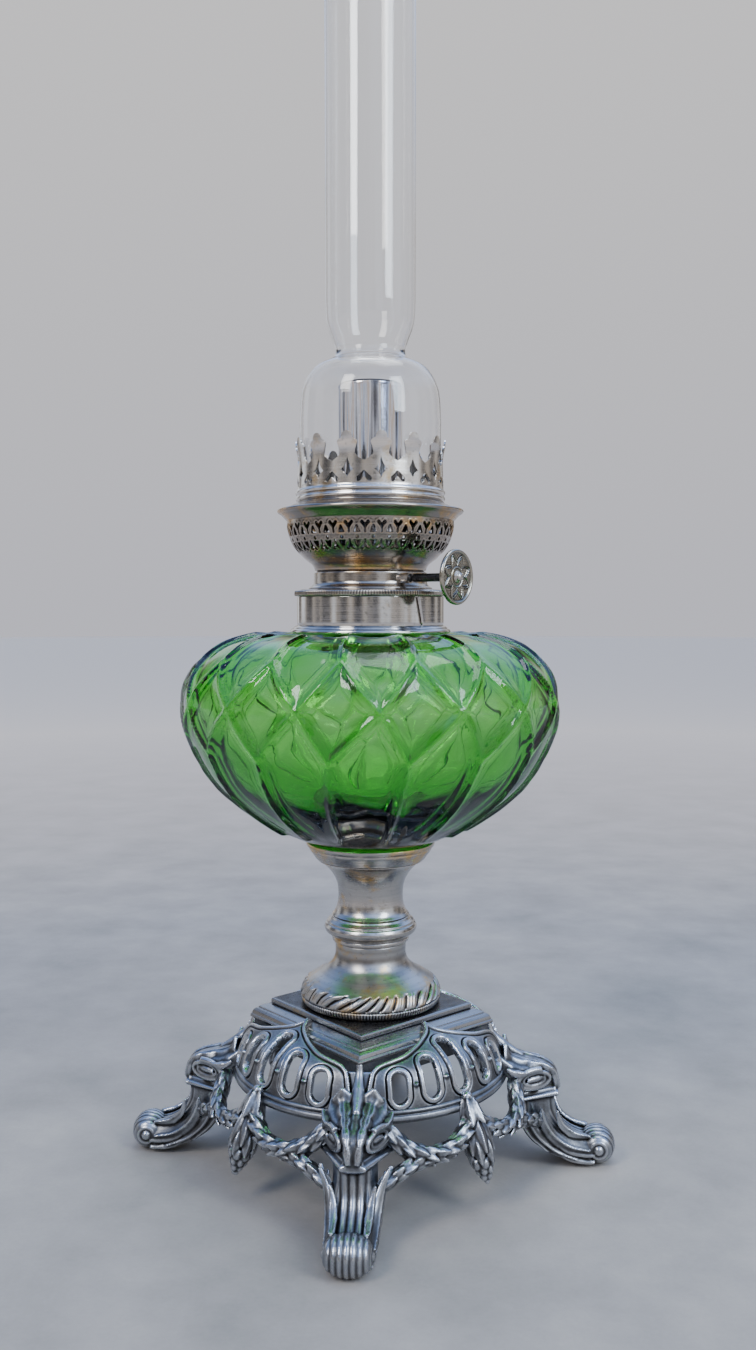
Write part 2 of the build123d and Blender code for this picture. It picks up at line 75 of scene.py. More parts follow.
def fillet(points, radius):
    """Polyline with its inner corners rounded."""
    p = np.asarray(points, float)
    line = [p[0]]
    for before, corner, after in zip(p[:-2], p[1:-1], p[2:]):
        back, ahead = before - corner, after - corner
        back_run, ahead_run = np.linalg.norm(back), np.linalg.norm(ahead)
        start = corner + back / back_run * min(radius, 0.45 * back_run)
        end = corner + ahead / ahead_run * min(radius, 0.45 * ahead_run)
        for t in np.linspace(0, 1, FILLET_STEPS + 1):
            line.append((1 - t) ** 2 * start + 2 * t * (1 - t) * corner + t ** 2 * end)
    line.append(p[-1])
    return np.array(line)


def finely(line, longest):
    """The same line with long steps divided."""
    points = []
    for a, b in zip(line[:-1], line[1:]):
        count = max(1, int(np.ceil(np.linalg.norm(b - a) / longest)))
        points.extend(a + (b - a) * k / count for k in range(count))
    points.append(line[-1])
    return np.array(points)


def polar(radius, angle, height):
    """Points from radius, angle in radians from -Y towards +X, and height."""
    r, a, z = np.broadcast_arrays(radius, angle, height)
    return np.stack([r * np.sin(a), -r * np.cos(a), z], -1)


def smoothstep(low, high, x):
    """Soft step from 0 at low to 1 at high."""
    t = np.clip((x - low) / (high - low), 0, 1)
    return t * t * (3 - 2 * t)


def bump(x, centre, half_width):
    """Rounded ridge of height 1 about a centre."""
    t = np.clip(np.abs(x - centre) / half_width, 0, 1)
    return (1 - t * t) ** 2


# ---------------------------------------------------------------- meshes
def mesh_from(name, points, faces, sharp=35, weld=False):
    """Mesh in metres from points in mm, its normals outwards and its edges sharp past an angle."""
    mesh = bpy.data.meshes.new(name)
    mesh.from_pydata((np.asarray(points) * MM).tolist(), [], faces)
    work = bmesh.new()
    work.from_mesh(mesh)
    if weld:
        bmesh.ops.remove_doubles(work, verts=work.verts, dist=1e-6)
    bmesh.ops.recalc_face_normals(work, faces=work.faces)
    work.to_mesh(mesh)
    work.free()
    mesh.polygons.foreach_set("use_smooth", [True] * len(mesh.polygons))
    mesh.set_sharp_from_angle(angle=radians(sharp))
    return mesh


def grid_faces(rows, columns, rows_wrap=False, columns_wrap=False):
    """Quads of a grid of points stored row by row."""
    i = np.arange(rows if rows_wrap else rows - 1)
    j = np.arange(columns if columns_wrap else columns - 1)
    i, j = np.meshgrid(i, j, indexing="ij")
    near, far = i * columns, (i + 1) % rows * columns
    k = (j + 1) % columns
    quads = np.stack([near + j, near + k, far + k, far + j], -1)
    return quads.reshape(-1, 4).tolist()


def outline_normals(line, closed):
    """Unit normals, to the right of travel, of a line in the (radius, height) plane."""
    if closed:
        run = np.roll(line, -1, axis=0) - np.roll(line, 1, axis=0)
    else:
        run = np.gradient(line, axis=0)
    normal = np.stack([run[:, 1], -run[:, 0]], 1)
    return normal / np.maximum(np.linalg.norm(normal, axis=1, keepdims=True), 1e-9)


def lathe(name, outline, segments, relief=None, closed=True, sharp=35):
    """Turned mesh about Z. The outline runs up the outside and down the inside; relief(angle,
    radius, height) is how far the surface stands out."""
    line = np.asarray(outline, float)
    angle = np.linspace(0, tau, segments, endpoint=False)[:, None]
    normal = outline_normals(line, closed)
    lift = np.zeros((segments, len(line)))
    if relief:
        lift += relief(angle, line[None, :, 0], line[None, :, 1])
    radius = np.maximum(line[None, :, 0] + normal[None, :, 0] * lift, 0)
    height = line[None, :, 1] + normal[None, :, 1] * lift
    points = polar(radius, angle, height).reshape(-1, 3)
    faces = grid_faces(segments, len(line), rows_wrap=True, columns_wrap=closed)
    return mesh_from(name, points, faces, sharp, weld=not closed)


def loft(rings):
    """Closed solid through rings of points, as (points, faces)."""
    rings = np.asarray(rings, float)
    count, around = rings.shape[:2]
    faces = grid_faces(count, around, columns_wrap=True)
    faces.append(list(range(around)))
    faces.append(list(range((count - 1) * around, count * around)))
    return rings.reshape(-1, 3), faces


def joined(parts):
    """Several (points, faces) solids as one."""
    points, faces, first = [], [], 0
    for part_points, part_faces in parts:
        points.append(part_points)
        faces.extend([[first + k for k in face] for face in part_faces])
        first += len(part_points)
    return np.vstack(points), faces


def neighbour_mean(mesh, values):
    """Mean of each vertex's neighbours."""
    edges = np.zeros(len(mesh.edges) * 2, np.int64)
    mesh.edges.foreach_get("vertices", edges)
    a, b = edges.reshape(-1, 2).T
    count = np.bincount(a, minlength=len(values)) + np.bincount(b, minlength=len(values))
    total = np.empty_like(values)
    for k in range(values.shape[1]):
        total[:, k] = np.bincount(a, values[b, k], len(values))
        total[:, k] += np.bincount(b, values[a, k], len(values))
    return total / np.maximum(count, 1)[:, None]


def vertex_array(mesh):
    """The mesh's points, in metres."""
    co = np.zeros(len(mesh.vertices) * 3)
    mesh.vertices.foreach_get("co", co)
    return co.reshape(-1, 3)


def relax(mesh, passes):
    """Evens out the steps of a voxel mesh, and lifts what that leaves under the floor."""
    co = vertex_array(mesh)
    for _ in range(passes):
        co += 0.5 * (neighbour_mean(mesh, co) - co)
    co[:, 2] = np.maximum(co[:, 2], 0)
    mesh.vertices.foreach_set("co", co.ravel())
    mesh.update()


def store_cavity(mesh, reach=12, depth=0.25):
    """Vertex attribute "cavity": 0 deep in a recess, 0.5 on flat metal and 1 on a crest."""
    co = vertex_array(mesh)
    wide = co.copy()
    for _ in range(reach):
        wide += CAVITY_SPREAD * (neighbour_mean(mesh, wide) - wide)
    normal = np.zeros(len(co) * 3, np.float32)
    mesh.vertex_normals.foreach_get("vector", normal)
    stands_out = np.einsum("ij,ij->i", co - wide, normal.reshape(-1, 3)) / (depth * MM)
    value = 0.5 + 0.5 * np.clip(stands_out, -1, 1)
    attribute = mesh.attributes.new("cavity", "FLOAT", "POINT")
    attribute.data.foreach_set("value", value.astype(np.float32))


def fused(name, parts, voxel, passes):
    """One cast skin over overlapping solids."""
    points, faces = joined(parts)
    rough = mesh_from(name + "_rough", points, faces)
    holder = bpy.data.objects.new(name + "_rough", rough)
    bpy.context.scene.collection.objects.link(holder)
    skin = holder.modifiers.new("skin", "REMESH")
    skin.mode = "VOXEL"
    skin.voxel_size = voxel * MM
    depsgraph = bpy.context.evaluated_depsgraph_get()
    mesh = bpy.data.meshes.new_from_object(holder.evaluated_get(depsgraph))
    mesh.name = name
    bpy.data.objects.remove(holder)
    bpy.data.meshes.remove(rough)
    relax(mesh, passes)
    mesh.polygons.foreach_set("use_smooth", [True] * len(mesh.polygons))
    return mesh


def piece(name, mesh, material, body, slot, replaces=(), turn=0.0, place=None):
    """Puts a mesh on a body, standing for CAD nodes."""
    obj = bpy.data.objects.new(name, mesh)
    bpy.context.scene.collection.objects.link(obj)
    if not mesh.materials:
        mesh.materials.append(material)
    obj.matrix_world = place if place is not None else Matrix.Rotation(radians(turn), 4, "Z")
    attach(obj, body)
    if replaces:
        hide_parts(*replaces)
    return obj


def turned(name, node, outline, segments, look, body, slot, step=WHOLE, relief=None, cavity=None,
           closed=True, place=None):
    """Turned piece for one CAD node, its outline divided into steps and its cavity stored."""
    mesh = lathe(name, finely(outline, step), segments, relief, closed)
    if cavity:
        store_cavity(mesh, *cavity)
    piece(name, mesh, look, body, slot, [node], place=place)


# ---------------------------------------------------------------- perforated sheet metal
NEAREST = 0.02    # how near a cut comes to a grid place, in cells


def kept_cells(field, wrap):
    """Points and faces of the part of a grid where a field is above zero, cut along the zero line."""
    columns, rows = field.shape
    known, points, faces = {}, [], []

    def spot(at):
        """Grid place that a corner stands for."""
        return (at[0] % columns, at[1]) if wrap else at

    def index(key, place):
        """Number of the point known by key, which is at place."""
        if key not in known:
            known[key] = len(points)
            points.append(place)
        return known[key]

    def crossing(a, b):
        """Number of the point where the field is zero between two corners."""
        at_a, at_b = field[spot(a)], field[spot(b)]
        t = min(max(at_a / (at_a - at_b), NEAREST), 1 - NEAREST)
        place = (a[0] + (b[0] - a[0]) * t, a[1] + (b[1] - a[1]) * t)
        return index(tuple(sorted([spot(a), spot(b)])), place)

    for i in range(columns if wrap else columns - 1):
        for j in range(rows - 1):
            corners = [(i, j), (i + 1, j), (i + 1, j + 1), (i, j + 1)]
            kept = [field[spot(corner)] > 0 for corner in corners]
            face = []
            for k in range(4):
                follower = (k + 1) % 4
                if kept[k]:
                    face.append(index(spot(corners[k]), spot(corners[k])))
                if kept[k] != kept[follower]:
                    face.append(crossing(corners[k], corners[follower]))
            if face:
                faces.append(face)
    return np.array(points, float), faces


def rim_edges(faces):
    """Edges that only one face has, in its own direction."""
    edges = [edge for face in faces for edge in zip(face, face[1:] + face[:1])]
    known = set(edges)
    return [(a, b) for a, b in edges if (b, a) not in known]


def perforated(name, surface, field, thickness, wrap=True, sharp=35, looks=()):
    """Sheet of a given thickness over the part of a grid where field > 0. surface(i, j) gives
    the outer points and their normals at grid places, looks the finishes outside and inside."""
    at, cells = kept_cells(field, wrap)
    outer, normal = surface(at[:, 0], at[:, 1])
    count, rims = len(at), rim_edges(cells)
    faces = cells + [[count + k for k in reversed(face)] for face in cells]
    faces += [[b, a, count + a, count + b] for a, b in rims]
    mesh = mesh_from(name, np.vstack([outer, outer - normal * thickness]), faces, sharp)
    for look in looks:
        mesh.materials.append(look)
    if looks:
        sides = [0] * len(cells) + [1] * len(cells) + [0] * len(rims)
        mesh.polygons.foreach_set("material_index", sides)
    return mesh


# ---------------------------------------------------------------- finishes
class Nodes:
    """A node tree being put together."""

    def __init__(self, tree):
        self.tree = tree

    def feed(self, socket, value):
        """Links a socket to another's output, or sets it to a constant."""
        if isinstance(value, bpy.types.NodeSocket):
            self.tree.links.new(value, socket)
        else:
            socket.default_value = value

    def add(self, kind, inputs=None, **settings):
        node = self.tree.nodes.new("ShaderNode" + kind)
        for name, value in settings.items():
            setattr(node, name, value)
        for key, value in (inputs or {}).items():
            self.feed(node.inputs[key], value)
        return node

    def math(self, operation, a, b=0.0, c=0.0):
        return self.add("Math", {0: a, 1: b, 2: c}, operation=operation).outputs[0]

    def ramp(self, value, *stops):
        """Colour ramp from (place, grey or colour) stops."""
        node = self.add("ValToRGB", {"Fac": value})
        band = node.color_ramp.elements
        while len(band) < len(stops):
            band.new(0.5)
        for element, (at, colour) in zip(band, stops):
            element.position = at
            shade = (colour,) * 3 if isinstance(colour, (int, float)) else colour
            element.color = (*shade, 1)
        return node.outputs["Color"]

    def mix(self, share, a, b):
        """From a to b, each a colour or a socket."""
        a, b = ((*colour, 1) if isinstance(colour, tuple) else colour for colour in (a, b))
        return self.add("Mix", {0: share, 6: a, 7: b}, data_type="RGBA").outputs[2]


class Finish(Nodes):
    """A node material being put together. Its texture places are in millimetres."""

    def __init__(self, name, **shader):
        self.material = bpy.data.materials.new(name)
        self.material.use_nodes = True
        super().__init__(self.material.node_tree)
        self.sockets = self.tree.nodes["Principled BSDF"].inputs
        for socket, value in shader.items():
            self.sockets[socket.replace("_", " ")].default_value = value
        self.spot = self.add("TexCoord").outputs["Object"]
        self.place = self.scaled(self.spot, (1 / MM,) * 3)

    def scaled(self, vector, scale):
        """The vector times a scale for each axis."""
        return self.add("Mapping", {"Vector": vector, "Scale": scale}).outputs["Vector"]

    def noise(self, size, detail=4.0, stretch=(1, 1, 1), rough=0.5):
        """Noise whose features are about size mm wide, stretched along the axes."""
        vector = self.scaled(self.place, tuple(1 / (size * s) for s in stretch))
        inputs = {"Vector": vector, "Scale": 1.0, "Detail": detail, "Roughness": rough}
        return self.add("TexNoise", inputs).outputs["Fac"]

    def cavity(self):
        """What store_cavity left on the mesh."""
        return self.add("Attribute", attribute_name="cavity").outputs["Fac"]

    def colour(self, value):
        self.feed(self.sockets["Base Color"], value)

    def roughness(self, value):
        self.feed(self.sockets["Roughness"], value)

    def bump(self, height, distance_mm, strength=1.0):
        inputs = {"Height": height, "Distance": distance_mm * MM, "Strength": strength}
        self.feed(self.sockets["Normal"], self.add("Bump", inputs).outputs["Normal"])


TARNISH = 0.5
GRIME = (0.035, 0.03, 0.026)
WARM_BRASS = (0.62, 0.42, 0.19)
SILVER_PLATE = (0.46, 0.44, 0.41)


def cast_metal(name, recess, middle, crest, roughness=(0.5, 0.26), worn=0.0):
    """Antique cast metal: dark in its recesses, rubbed bright on its crests."""
    f = Finish(name, Metallic=1.0)
    cloud = f.noise(9.0, 5.0)
    grain = f.noise(0.7, 3.0)
    height = f.math("MULTIPLY_ADD", cloud, 0.34, -0.17 + worn)
    height = f.math("ADD", height, f.cavity())
    height = f.math("MULTIPLY_ADD", grain, 0.16, height)
    height = f.math("SUBTRACT", height, 0.08)
    mid_tone = tuple(0.5 * (m + c) for m, c in zip(middle, crest))
    f.colour(f.ramp(height, (0.14, recess), (0.47, middle), (0.64, mid_tone), (0.92, crest)))
    f.roughness(f.ramp(height, (0.2, roughness[0]), (0.75, roughness[1])))
    f.bump(f.math("ADD", grain, f.noise(2.2, 4.0)), 0.05, 0.7)
    return f.material


def plated(name, colour, warm, patches=0.62, roughness=0.27, brush=0.018, cavity=False):
    """Aged plating on turned brass: fine turning lines, warm worn patches and dull spots."""
    f = Finish(name, Metallic=1.0)
    cloud = f.noise(13.0, 6.0, (1, 1, 0.8), 0.62)
    lines = f.noise(0.55, 3.0, (40, 40, 0.6))
    spots = f.noise(1.6, 4.0)
    dull = tuple(c * TARNISH for c in colour)
    base = f.mix(f.ramp(cloud, (patches - 0.05, 0.0), (patches + 0.07, 1.0)), colour, warm)
    base = f.mix(f.ramp(spots, (0.60, 0.0), (0.74, 0.75)), base, dull)
    base = f.mix(f.ramp(lines, (0.35, 0.22), (0.6, 0.0)), base, dull)
    if cavity:
        base = f.mix(f.ramp(f.cavity(), (0.2, 0.0), (0.52, 1.0)), GRIME, base)
    f.colour(base)
    gloss = f.math("MULTIPLY_ADD", cloud, 0.3, roughness - 0.15)
    gloss = f.math("MULTIPLY_ADD", lines, 0.16, gloss)
    f.roughness(f.math("SUBTRACT", gloss, 0.08))
    f.bump(f.math("MULTIPLY_ADD", spots, 0.5, lines), brush, 0.8)
    return f.material


def tube_tint_and_painted_reflections():
    """Polished tube in long upright streaks: blue and straw heat tint, and near-black and pale bands that are
    painted reflections.
    """
    f = Finish("bright_tube_look", Metallic=1.0)
    streak = f.noise(3.4, 2.0, (1, 1, 26), 0.6)
    # In this ramp the near-black and pale bands are painted reflections, and the blue and straw bands are
    # heat tint.
    f.colour(f.ramp(streak, (0.38, (0.05, 0.055, 0.07)), (0.44, (0.34, 0.40, 0.56)),
                    (0.50, (0.66, 0.70, 0.78)), (0.55, (0.72, 0.60, 0.50)),
                    (0.60, (0.78, 0.80, 0.86)), (0.67, (0.10, 0.10, 0.12))))
    f.roughness(f.ramp(f.noise(1.2, 4.0), (0.3, 0.10), (0.7, 0.22)))
    f.bump(f.noise(0.5, 3.0, (1, 1, 30)), 0.006, 0.8)
    return f.material


def green_glass():
    """Pressed green glass, deeper where it is thicker."""
    f = Finish("green_glass_look", Transmission_Weight=1.0, IOR=1.5, Base_Color=(0.95, 1.0, 0.93, 1))
    f.roughness(f.ramp(f.noise(6.0, 3.0), (0.5, 0.0), (0.9, 0.02)))
    f.bump(f.noise(14.0, 2.0), 0.35, 0.35)
    soak = f.add("VolumeAbsorption", {"Color": (0.24, 0.845, 0.06, 1), "Density": 345.0})
    f.feed(f.tree.nodes["Material Output"].inputs["Volume"], soak.outputs[0])
    return f.material


def clear_glass():
    """Clear blown glass with a slight ripple and a little dust."""
    f = Finish("clear_glass_look", Transmission_Weight=1.0, IOR=1.47, Base_Color=(0.985, 0.99, 0.995, 1))
    f.roughness(f.ramp(f.noise(4.0, 5.0), (0.55, 0.0), (0.9, 0.05)))
    f.bump(f.noise(16.0, 1.0, (1, 1, 3)), 0.12, 0.4)
    return f.material


WICK_TOP = 293.8
WICK_CHAR = 1.6


def cotton():
    """Woven wick, charred along its top edge."""
    f = Finish("cotton_look", Roughness=0.9)
    rows = f.noise(0.9, 2.0, (1, 1, 0.35))
    weave = f.add("TexWave", {"Vector": f.place, "Scale": 0.42, "Distortion": 1.2}, bands_direction="Z")
    top = (WICK_TOP - WICK_CHAR) * MM
    height = f.add("SeparateXYZ", {"Vector": f.spot}).outputs["Z"]
    burnt = f.math("MULTIPLY_ADD", rows, 1.4 * MM, height)
    char = f.ramp(f.math("GREATER_THAN", burnt, top), (0.0, 0.0), (1.0, 1.0))
    thread = f.ramp(weave.outputs["Fac"], (0.2, (0.42, 0.36, 0.24)), (0.8, (0.72, 0.66, 0.52)))
    f.colour(f.mix(char, thread, (0.045, 0.035, 0.028)))
    f.bump(f.math("ADD", weave.outputs["Fac"], rows), 0.25, 0.8)
    return f.material


def plaster():
    """Old lamp plaster, slightly yellow."""
    f = Finish("plaster_look", Roughness=0.85)
    cloud = f.noise(3.0, 5.0)
    f.colour(f.ramp(cloud, (0.3, (0.50, 0.43, 0.28)), (0.7, (0.74, 0.69, 0.55))))
    f.bump(cloud, 0.4, 0.6)
    return f.material


def dark_metal(name, low, high, roughness):
    """Dark metal with fine grain and lighter rubbed patches."""
    f = Finish(name, Metallic=1.0)
    cloud = f.noise(7.0, 6.0, rough=0.65)
    grain = f.noise(0.9, 4.0)
    f.colour(f.ramp(cloud, (0.35, low), (0.72, high)))
    f.roughness(f.ramp(grain, (0.3, roughness - 0.08), (0.7, roughness + 0.1)))
    f.bump(grain, 0.04, 0.6)
    return f.material


def floor_finish():
    """Pale smooth floor with a faint mottle; far from the lamp its colour is painted lighter and warmer,
    painted light that makes it as pale as the wall.
    """
    f = Finish("floor_look", Roughness=0.65, Specular_IOR_Level=0.12)
    cloud = f.noise(55.0, 6.0, rough=0.6)
    fine = f.noise(1.6, 3.0)
    tone = f.math("MULTIPLY_ADD", fine, 0.12, cloud)
    near = f.ramp(tone, (0.34, (0.262, 0.240, 0.208)), (0.76, (0.405, 0.360, 0.308)))
    reach = f.add("VectorMath", {0: f.place}, operation="LENGTH").outputs["Value"]
    # Painted light: the colour grows lighter and warmer with distance from the lamp, to meet the wall's
    # brightness at the horizon.
    far = f.ramp(f.math("MULTIPLY", reach, 1 / 3000), (0.12, 0.0), (0.55, 1.0))
    f.colour(f.mix(far, near, (1.0, 0.745, 0.50)))
    f.bump(fine, 0.12, 0.4)
    return f.material


casting = cast_metal("antique_casting_look", (0.016, 0.013, 0.010), (0.125, 0.125, 0.128), (0.55, 0.57, 0.60))
neck_metal = cast_metal("plinth_neck_look", (0.02, 0.018, 0.016), (0.13, 0.13, 0.13), (0.5, 0.5, 0.51),
                        (0.6, 0.45), 0.5)
plinth_metal = plated("plinth_look", (0.31, 0.30, 0.29), (0.46, 0.33, 0.16), 0.64, 0.28, 0.006)
stem_metal = plated("stem_plating_look", SILVER_PLATE, WARM_BRASS, 0.58, 0.25, 0.009)
stem_foot_metal = plated("stem_foot_look", SILVER_PLATE, WARM_BRASS, 0.58, 0.33, 0.009, cavity=True)
collar_metal = plated("collar_plating_look", (0.55, 0.53, 0.50), (0.48, 0.36, 0.20), 0.66, 0.13, 0.008,
                      cavity=True)
burner_metal = plated("burner_plating_look", (0.385, 0.35, 0.31), (0.54, 0.37, 0.18), 0.59, 0.22, 0.010,
                      cavity=True)
burner_flat = plated("burner_flat_look", (0.48, 0.445, 0.40), (0.56, 0.42, 0.24), 0.60, 0.28)
basket_metal = plated("basket_plating_look", (0.33, 0.29, 0.245), (0.56, 0.34, 0.13), 0.57, 0.22, 0.010,
                      cavity=True)
crown_metal = plated("crown_plating_look", (0.70, 0.67, 0.63), (0.60, 0.44, 0.24), 0.62, 0.20, 0.008)
knob_metal = plated("knob_plating_look", (0.38, 0.355, 0.29), (0.36, 0.29, 0.17), 0.55, 0.26, cavity=True)
tube_metal = tube_tint_and_painted_reflections()
plate_metal = dark_metal("dark_plate_look", (0.055, 0.055, 0.058), (0.15, 0.15, 0.155), 0.30)
shaft_metal = dark_metal("dark_steel_look", (0.020, 0.020, 0.023), (0.075, 0.073, 0.072), 0.3)
# Inside faces of the basket and crown: soot, plus painted shade that keeps the inside seen through their
# holes dark.
soot_and_shade_lining = dark_metal("soot_and_painted_shade_inside_look", (0.012, 0.011, 0.010), (0.045, 0.04, 0.034), 0.5)
fixing_metal = dark_metal("steel_fixings_look", (0.16, 0.15, 0.14), (0.36, 0.34, 0.31), 0.42)
font_glass = green_glass()
chimney_glass = clear_glass()
wick_cotton = cotton()
lamp_plaster = plaster()
# Finish, body and slot that several pieces share.
CAST = (casting, "lamp_base", "antique_casting")
STEM = (stem_metal, "lamp_base", "stem_plating")
BURNER = (burner_metal, "burner", "burner_plating")
BASKET = (basket_metal, "burner", "basket_plating")


# ---------------------------------------------------------------- green glass font
FONT_OUTSIDE = [(0, 120.6), (20, 121.8), (38.3, 128.8), (57.6, 144), (68.4, 163), (70.5, 176),
                (66.6, 187), (56.6, 196.3), (44, 200.2), (31, 200.6)]
FONT_INSIDE = [(0, 128.6), (18, 129.6), (35.0, 135.0), (54.4, 147.6), (65.2, 164.4), (67.5, 175.6),
               (64, 185), (54.8, 193.4), (43.4, 197.2), (31, 197.6)]
RIB_COUNT = 16
RIB_STEP = 360 / RIB_COUNT
# The net of ribs, as (degrees, height) at its knots: shoulder, two crossings and foot.
RIB_TOP = (-4.5, 200.0)
RIB_FORK = (-4.0, 192.0)
RIB_CROSS = (7.25, 176.0)
RIB_JOIN = (-7.0, 159.5)
RIB_FOOT = (-10.5, 128.0)
RIB_HEIGHT = 1.1
RIB_HALF_WIDTH = 1.65
PANE_HOLLOW = 0.55


def rib_segments():
    """Straight runs of one repeat of the net."""
    back = (RIB_CROSS[0] - RIB_STEP, RIB_CROSS[1])
    onward = (RIB_JOIN[0] + RIB_STEP, RIB_JOIN[1])
    return [(RIB_TOP, RIB_FORK), (RIB_FORK, RIB_CROSS), (RIB_FORK, back),
            (RIB_CROSS, RIB_JOIN), (RIB_CROSS, onward), (RIB_JOIN, RIB_FOOT)]


def rib_distance(angle, radius, height):
    """Distance in mm from places on the glass to the nearest rib."""
    turn = (np.degrees(angle) + RIB_STEP / 2) % RIB_STEP - RIB_STEP / 2
    slope = 1.0 + 0.9 * smoothstep(180, 198, height) + 0.5 * smoothstep(160, 130, height)
    nearest = np.full(np.broadcast(turn, height).shape, 99.0)
    mm_per_degree = radius * tau / 360
    for (a0, z0), (a1, z1) in rib_segments():
        for shift in (-RIB_STEP, 0, RIB_STEP):
            dx, dz = (a1 - a0) * mm_per_degree, (z1 - z0) * slope
            px, pz = (turn - a0 - shift) * mm_per_degree, (height - z0) * slope
            t = np.clip((px * dx + pz * dz) / (dx * dx + dz * dz + 1e-9), 0, 1)
            nearest = np.minimum(nearest, np.hypot(px - t * dx, pz - t * dz))
    return nearest


def font_relief(angle, radius, height):
    """Ribs stand out and panes are hollow outside; inside the glass is gently wavy."""
    distance = rib_distance(angle, radius, height)
    fade = smoothstep(28, 36, radius)
    quilt = RIB_HEIGHT * bump(distance, 0, RIB_HALF_WIDTH) - PANE_HOLLOW * smoothstep(0, 5.5, distance)
    swell = 0.32 * np.sin(5 * angle + height / 7) * np.sin(height / 6.5 + 2 * np.sin(3 * angle))
    wavy = swell + 0.45 * bump(distance, 0, 3.4)
    return fade * np.where(on_inner_skin(radius, height), wavy, quilt)


def on_inner_skin(radius, height):
    """True for places on the inner skin."""
    skin = smooth_line(FONT_INSIDE)
    widest = np.argmax(skin[:, 0])
    lower, upper = skin[:widest + 1], skin[widest:]
    low = np.interp(radius, lower[:, 0], lower[:, 1])
    high = np.interp(radius, upper[::-1, 0], upper[::-1, 1])
    return (height > low - 0.6) & (height < high + 0.6) & (radius < lower[-1, 0] + 0.4)


def make_font():
    """Quilted glass with its neck, thick at the bottom."""
    outside = evenly(smooth_line(FONT_OUTSIDE), 128)
    inside = evenly(smooth_line(FONT_INSIDE), 62)
    neck = fillet([(31, 200.6), (23.8, 200.6), (23.8, 206), (21, 206), (21, 197.6), (31, 197.6)], 0.7)
    outline = np.vstack([outside, neck[1:-1], inside[::-1]])
    mesh = lathe("font_glass", outline, RIB_COUNT * 28, font_relief, closed=False, sharp=60)
    piece("font_glass", mesh, font_glass, "lamp_base", "green_glass", ["font"])


# ---------------------------------------------------------------- chimney
def make_chimney():
    """Clear chimney with its fitter, shoulder, tight waist and long tube."""
    outside = smooth_line([(26.4, 276), (26.4, 281), (25.4, 291.6), (21.2, 299), (14.6, 302.6), (13.0, 305.6),
                           (13.8, 309), (16.2, 316), (16.8, 324), (16.8, 330)])
    inside = smooth_line([(24.9, 276), (24.9, 281), (23.9, 291), (20.1, 297.8), (13.8, 301.4), (11.5, 305.6),
                          (12.4, 309.4), (14.7, 316.3), (15.3, 324), (15.3, 330)])
    foot = fillet([(24.9, 276), (24.9, 249.6), (26.4, 249.6), (26.4, 276)], 0.6)
    mouth = fillet([(16.8, 330), (16.8, 510), (15.3, 510), (15.3, 330)], 0.7)
    outline = np.vstack([outside, mouth[1:-1], inside[::-1], foot[1:-1]])
    mesh = lathe("chimney_glass", finely(outline, 6), 192, sharp=60)
    piece("chimney_glass", mesh, chimney_glass, "chimney", "clear_glass", ["chimney"])


# ---------------------------------------------------------------- stem
BORE = 3.2            # for the tie rod
LEAF_COUNT = 32
FINE_RIBS = 144
FOOT_GROOVE = 63.3    # between the ribbed band and the leaves
LEAF_RISE = 5.2
TURNING_STEP = 1.2


def foot_relief(angle, radius, height):
    """Slanting leaves round the shoulder of the foot, over a finely ribbed band."""
    outer = radius > 20
    along = np.clip((height - FOOT_GROOVE - 0.1) / LEAF_RISE, 0, 1)
    slant = angle * LEAF_COUNT / tau - (1.0 + 0.65 * np.cos(4 * angle + 0.6)) * along ** 1.2
    across = np.abs((slant % 1.0) * 2 - 1)
    blade = 1.15 * np.sqrt(np.clip(1 - (across / 0.84) ** 2, 0, 1)) - 0.2 * bump(across, 0, 0.16) - 0.65
    window = smoothstep(63.2, 64.2, height) * smoothstep(69.0, 67.6, height)
    ribs = 0.42 * np.abs(np.cos(angle * FINE_RIBS / 2)) - 0.2
    band = smoothstep(60.3, 60.7, height) * smoothstep(63.3, 62.9, height)
    groove = -0.5 * bump(height, FOOT_GROOVE, 0.35)
    return np.where(outer, blade * window + ribs * band + groove, 0)


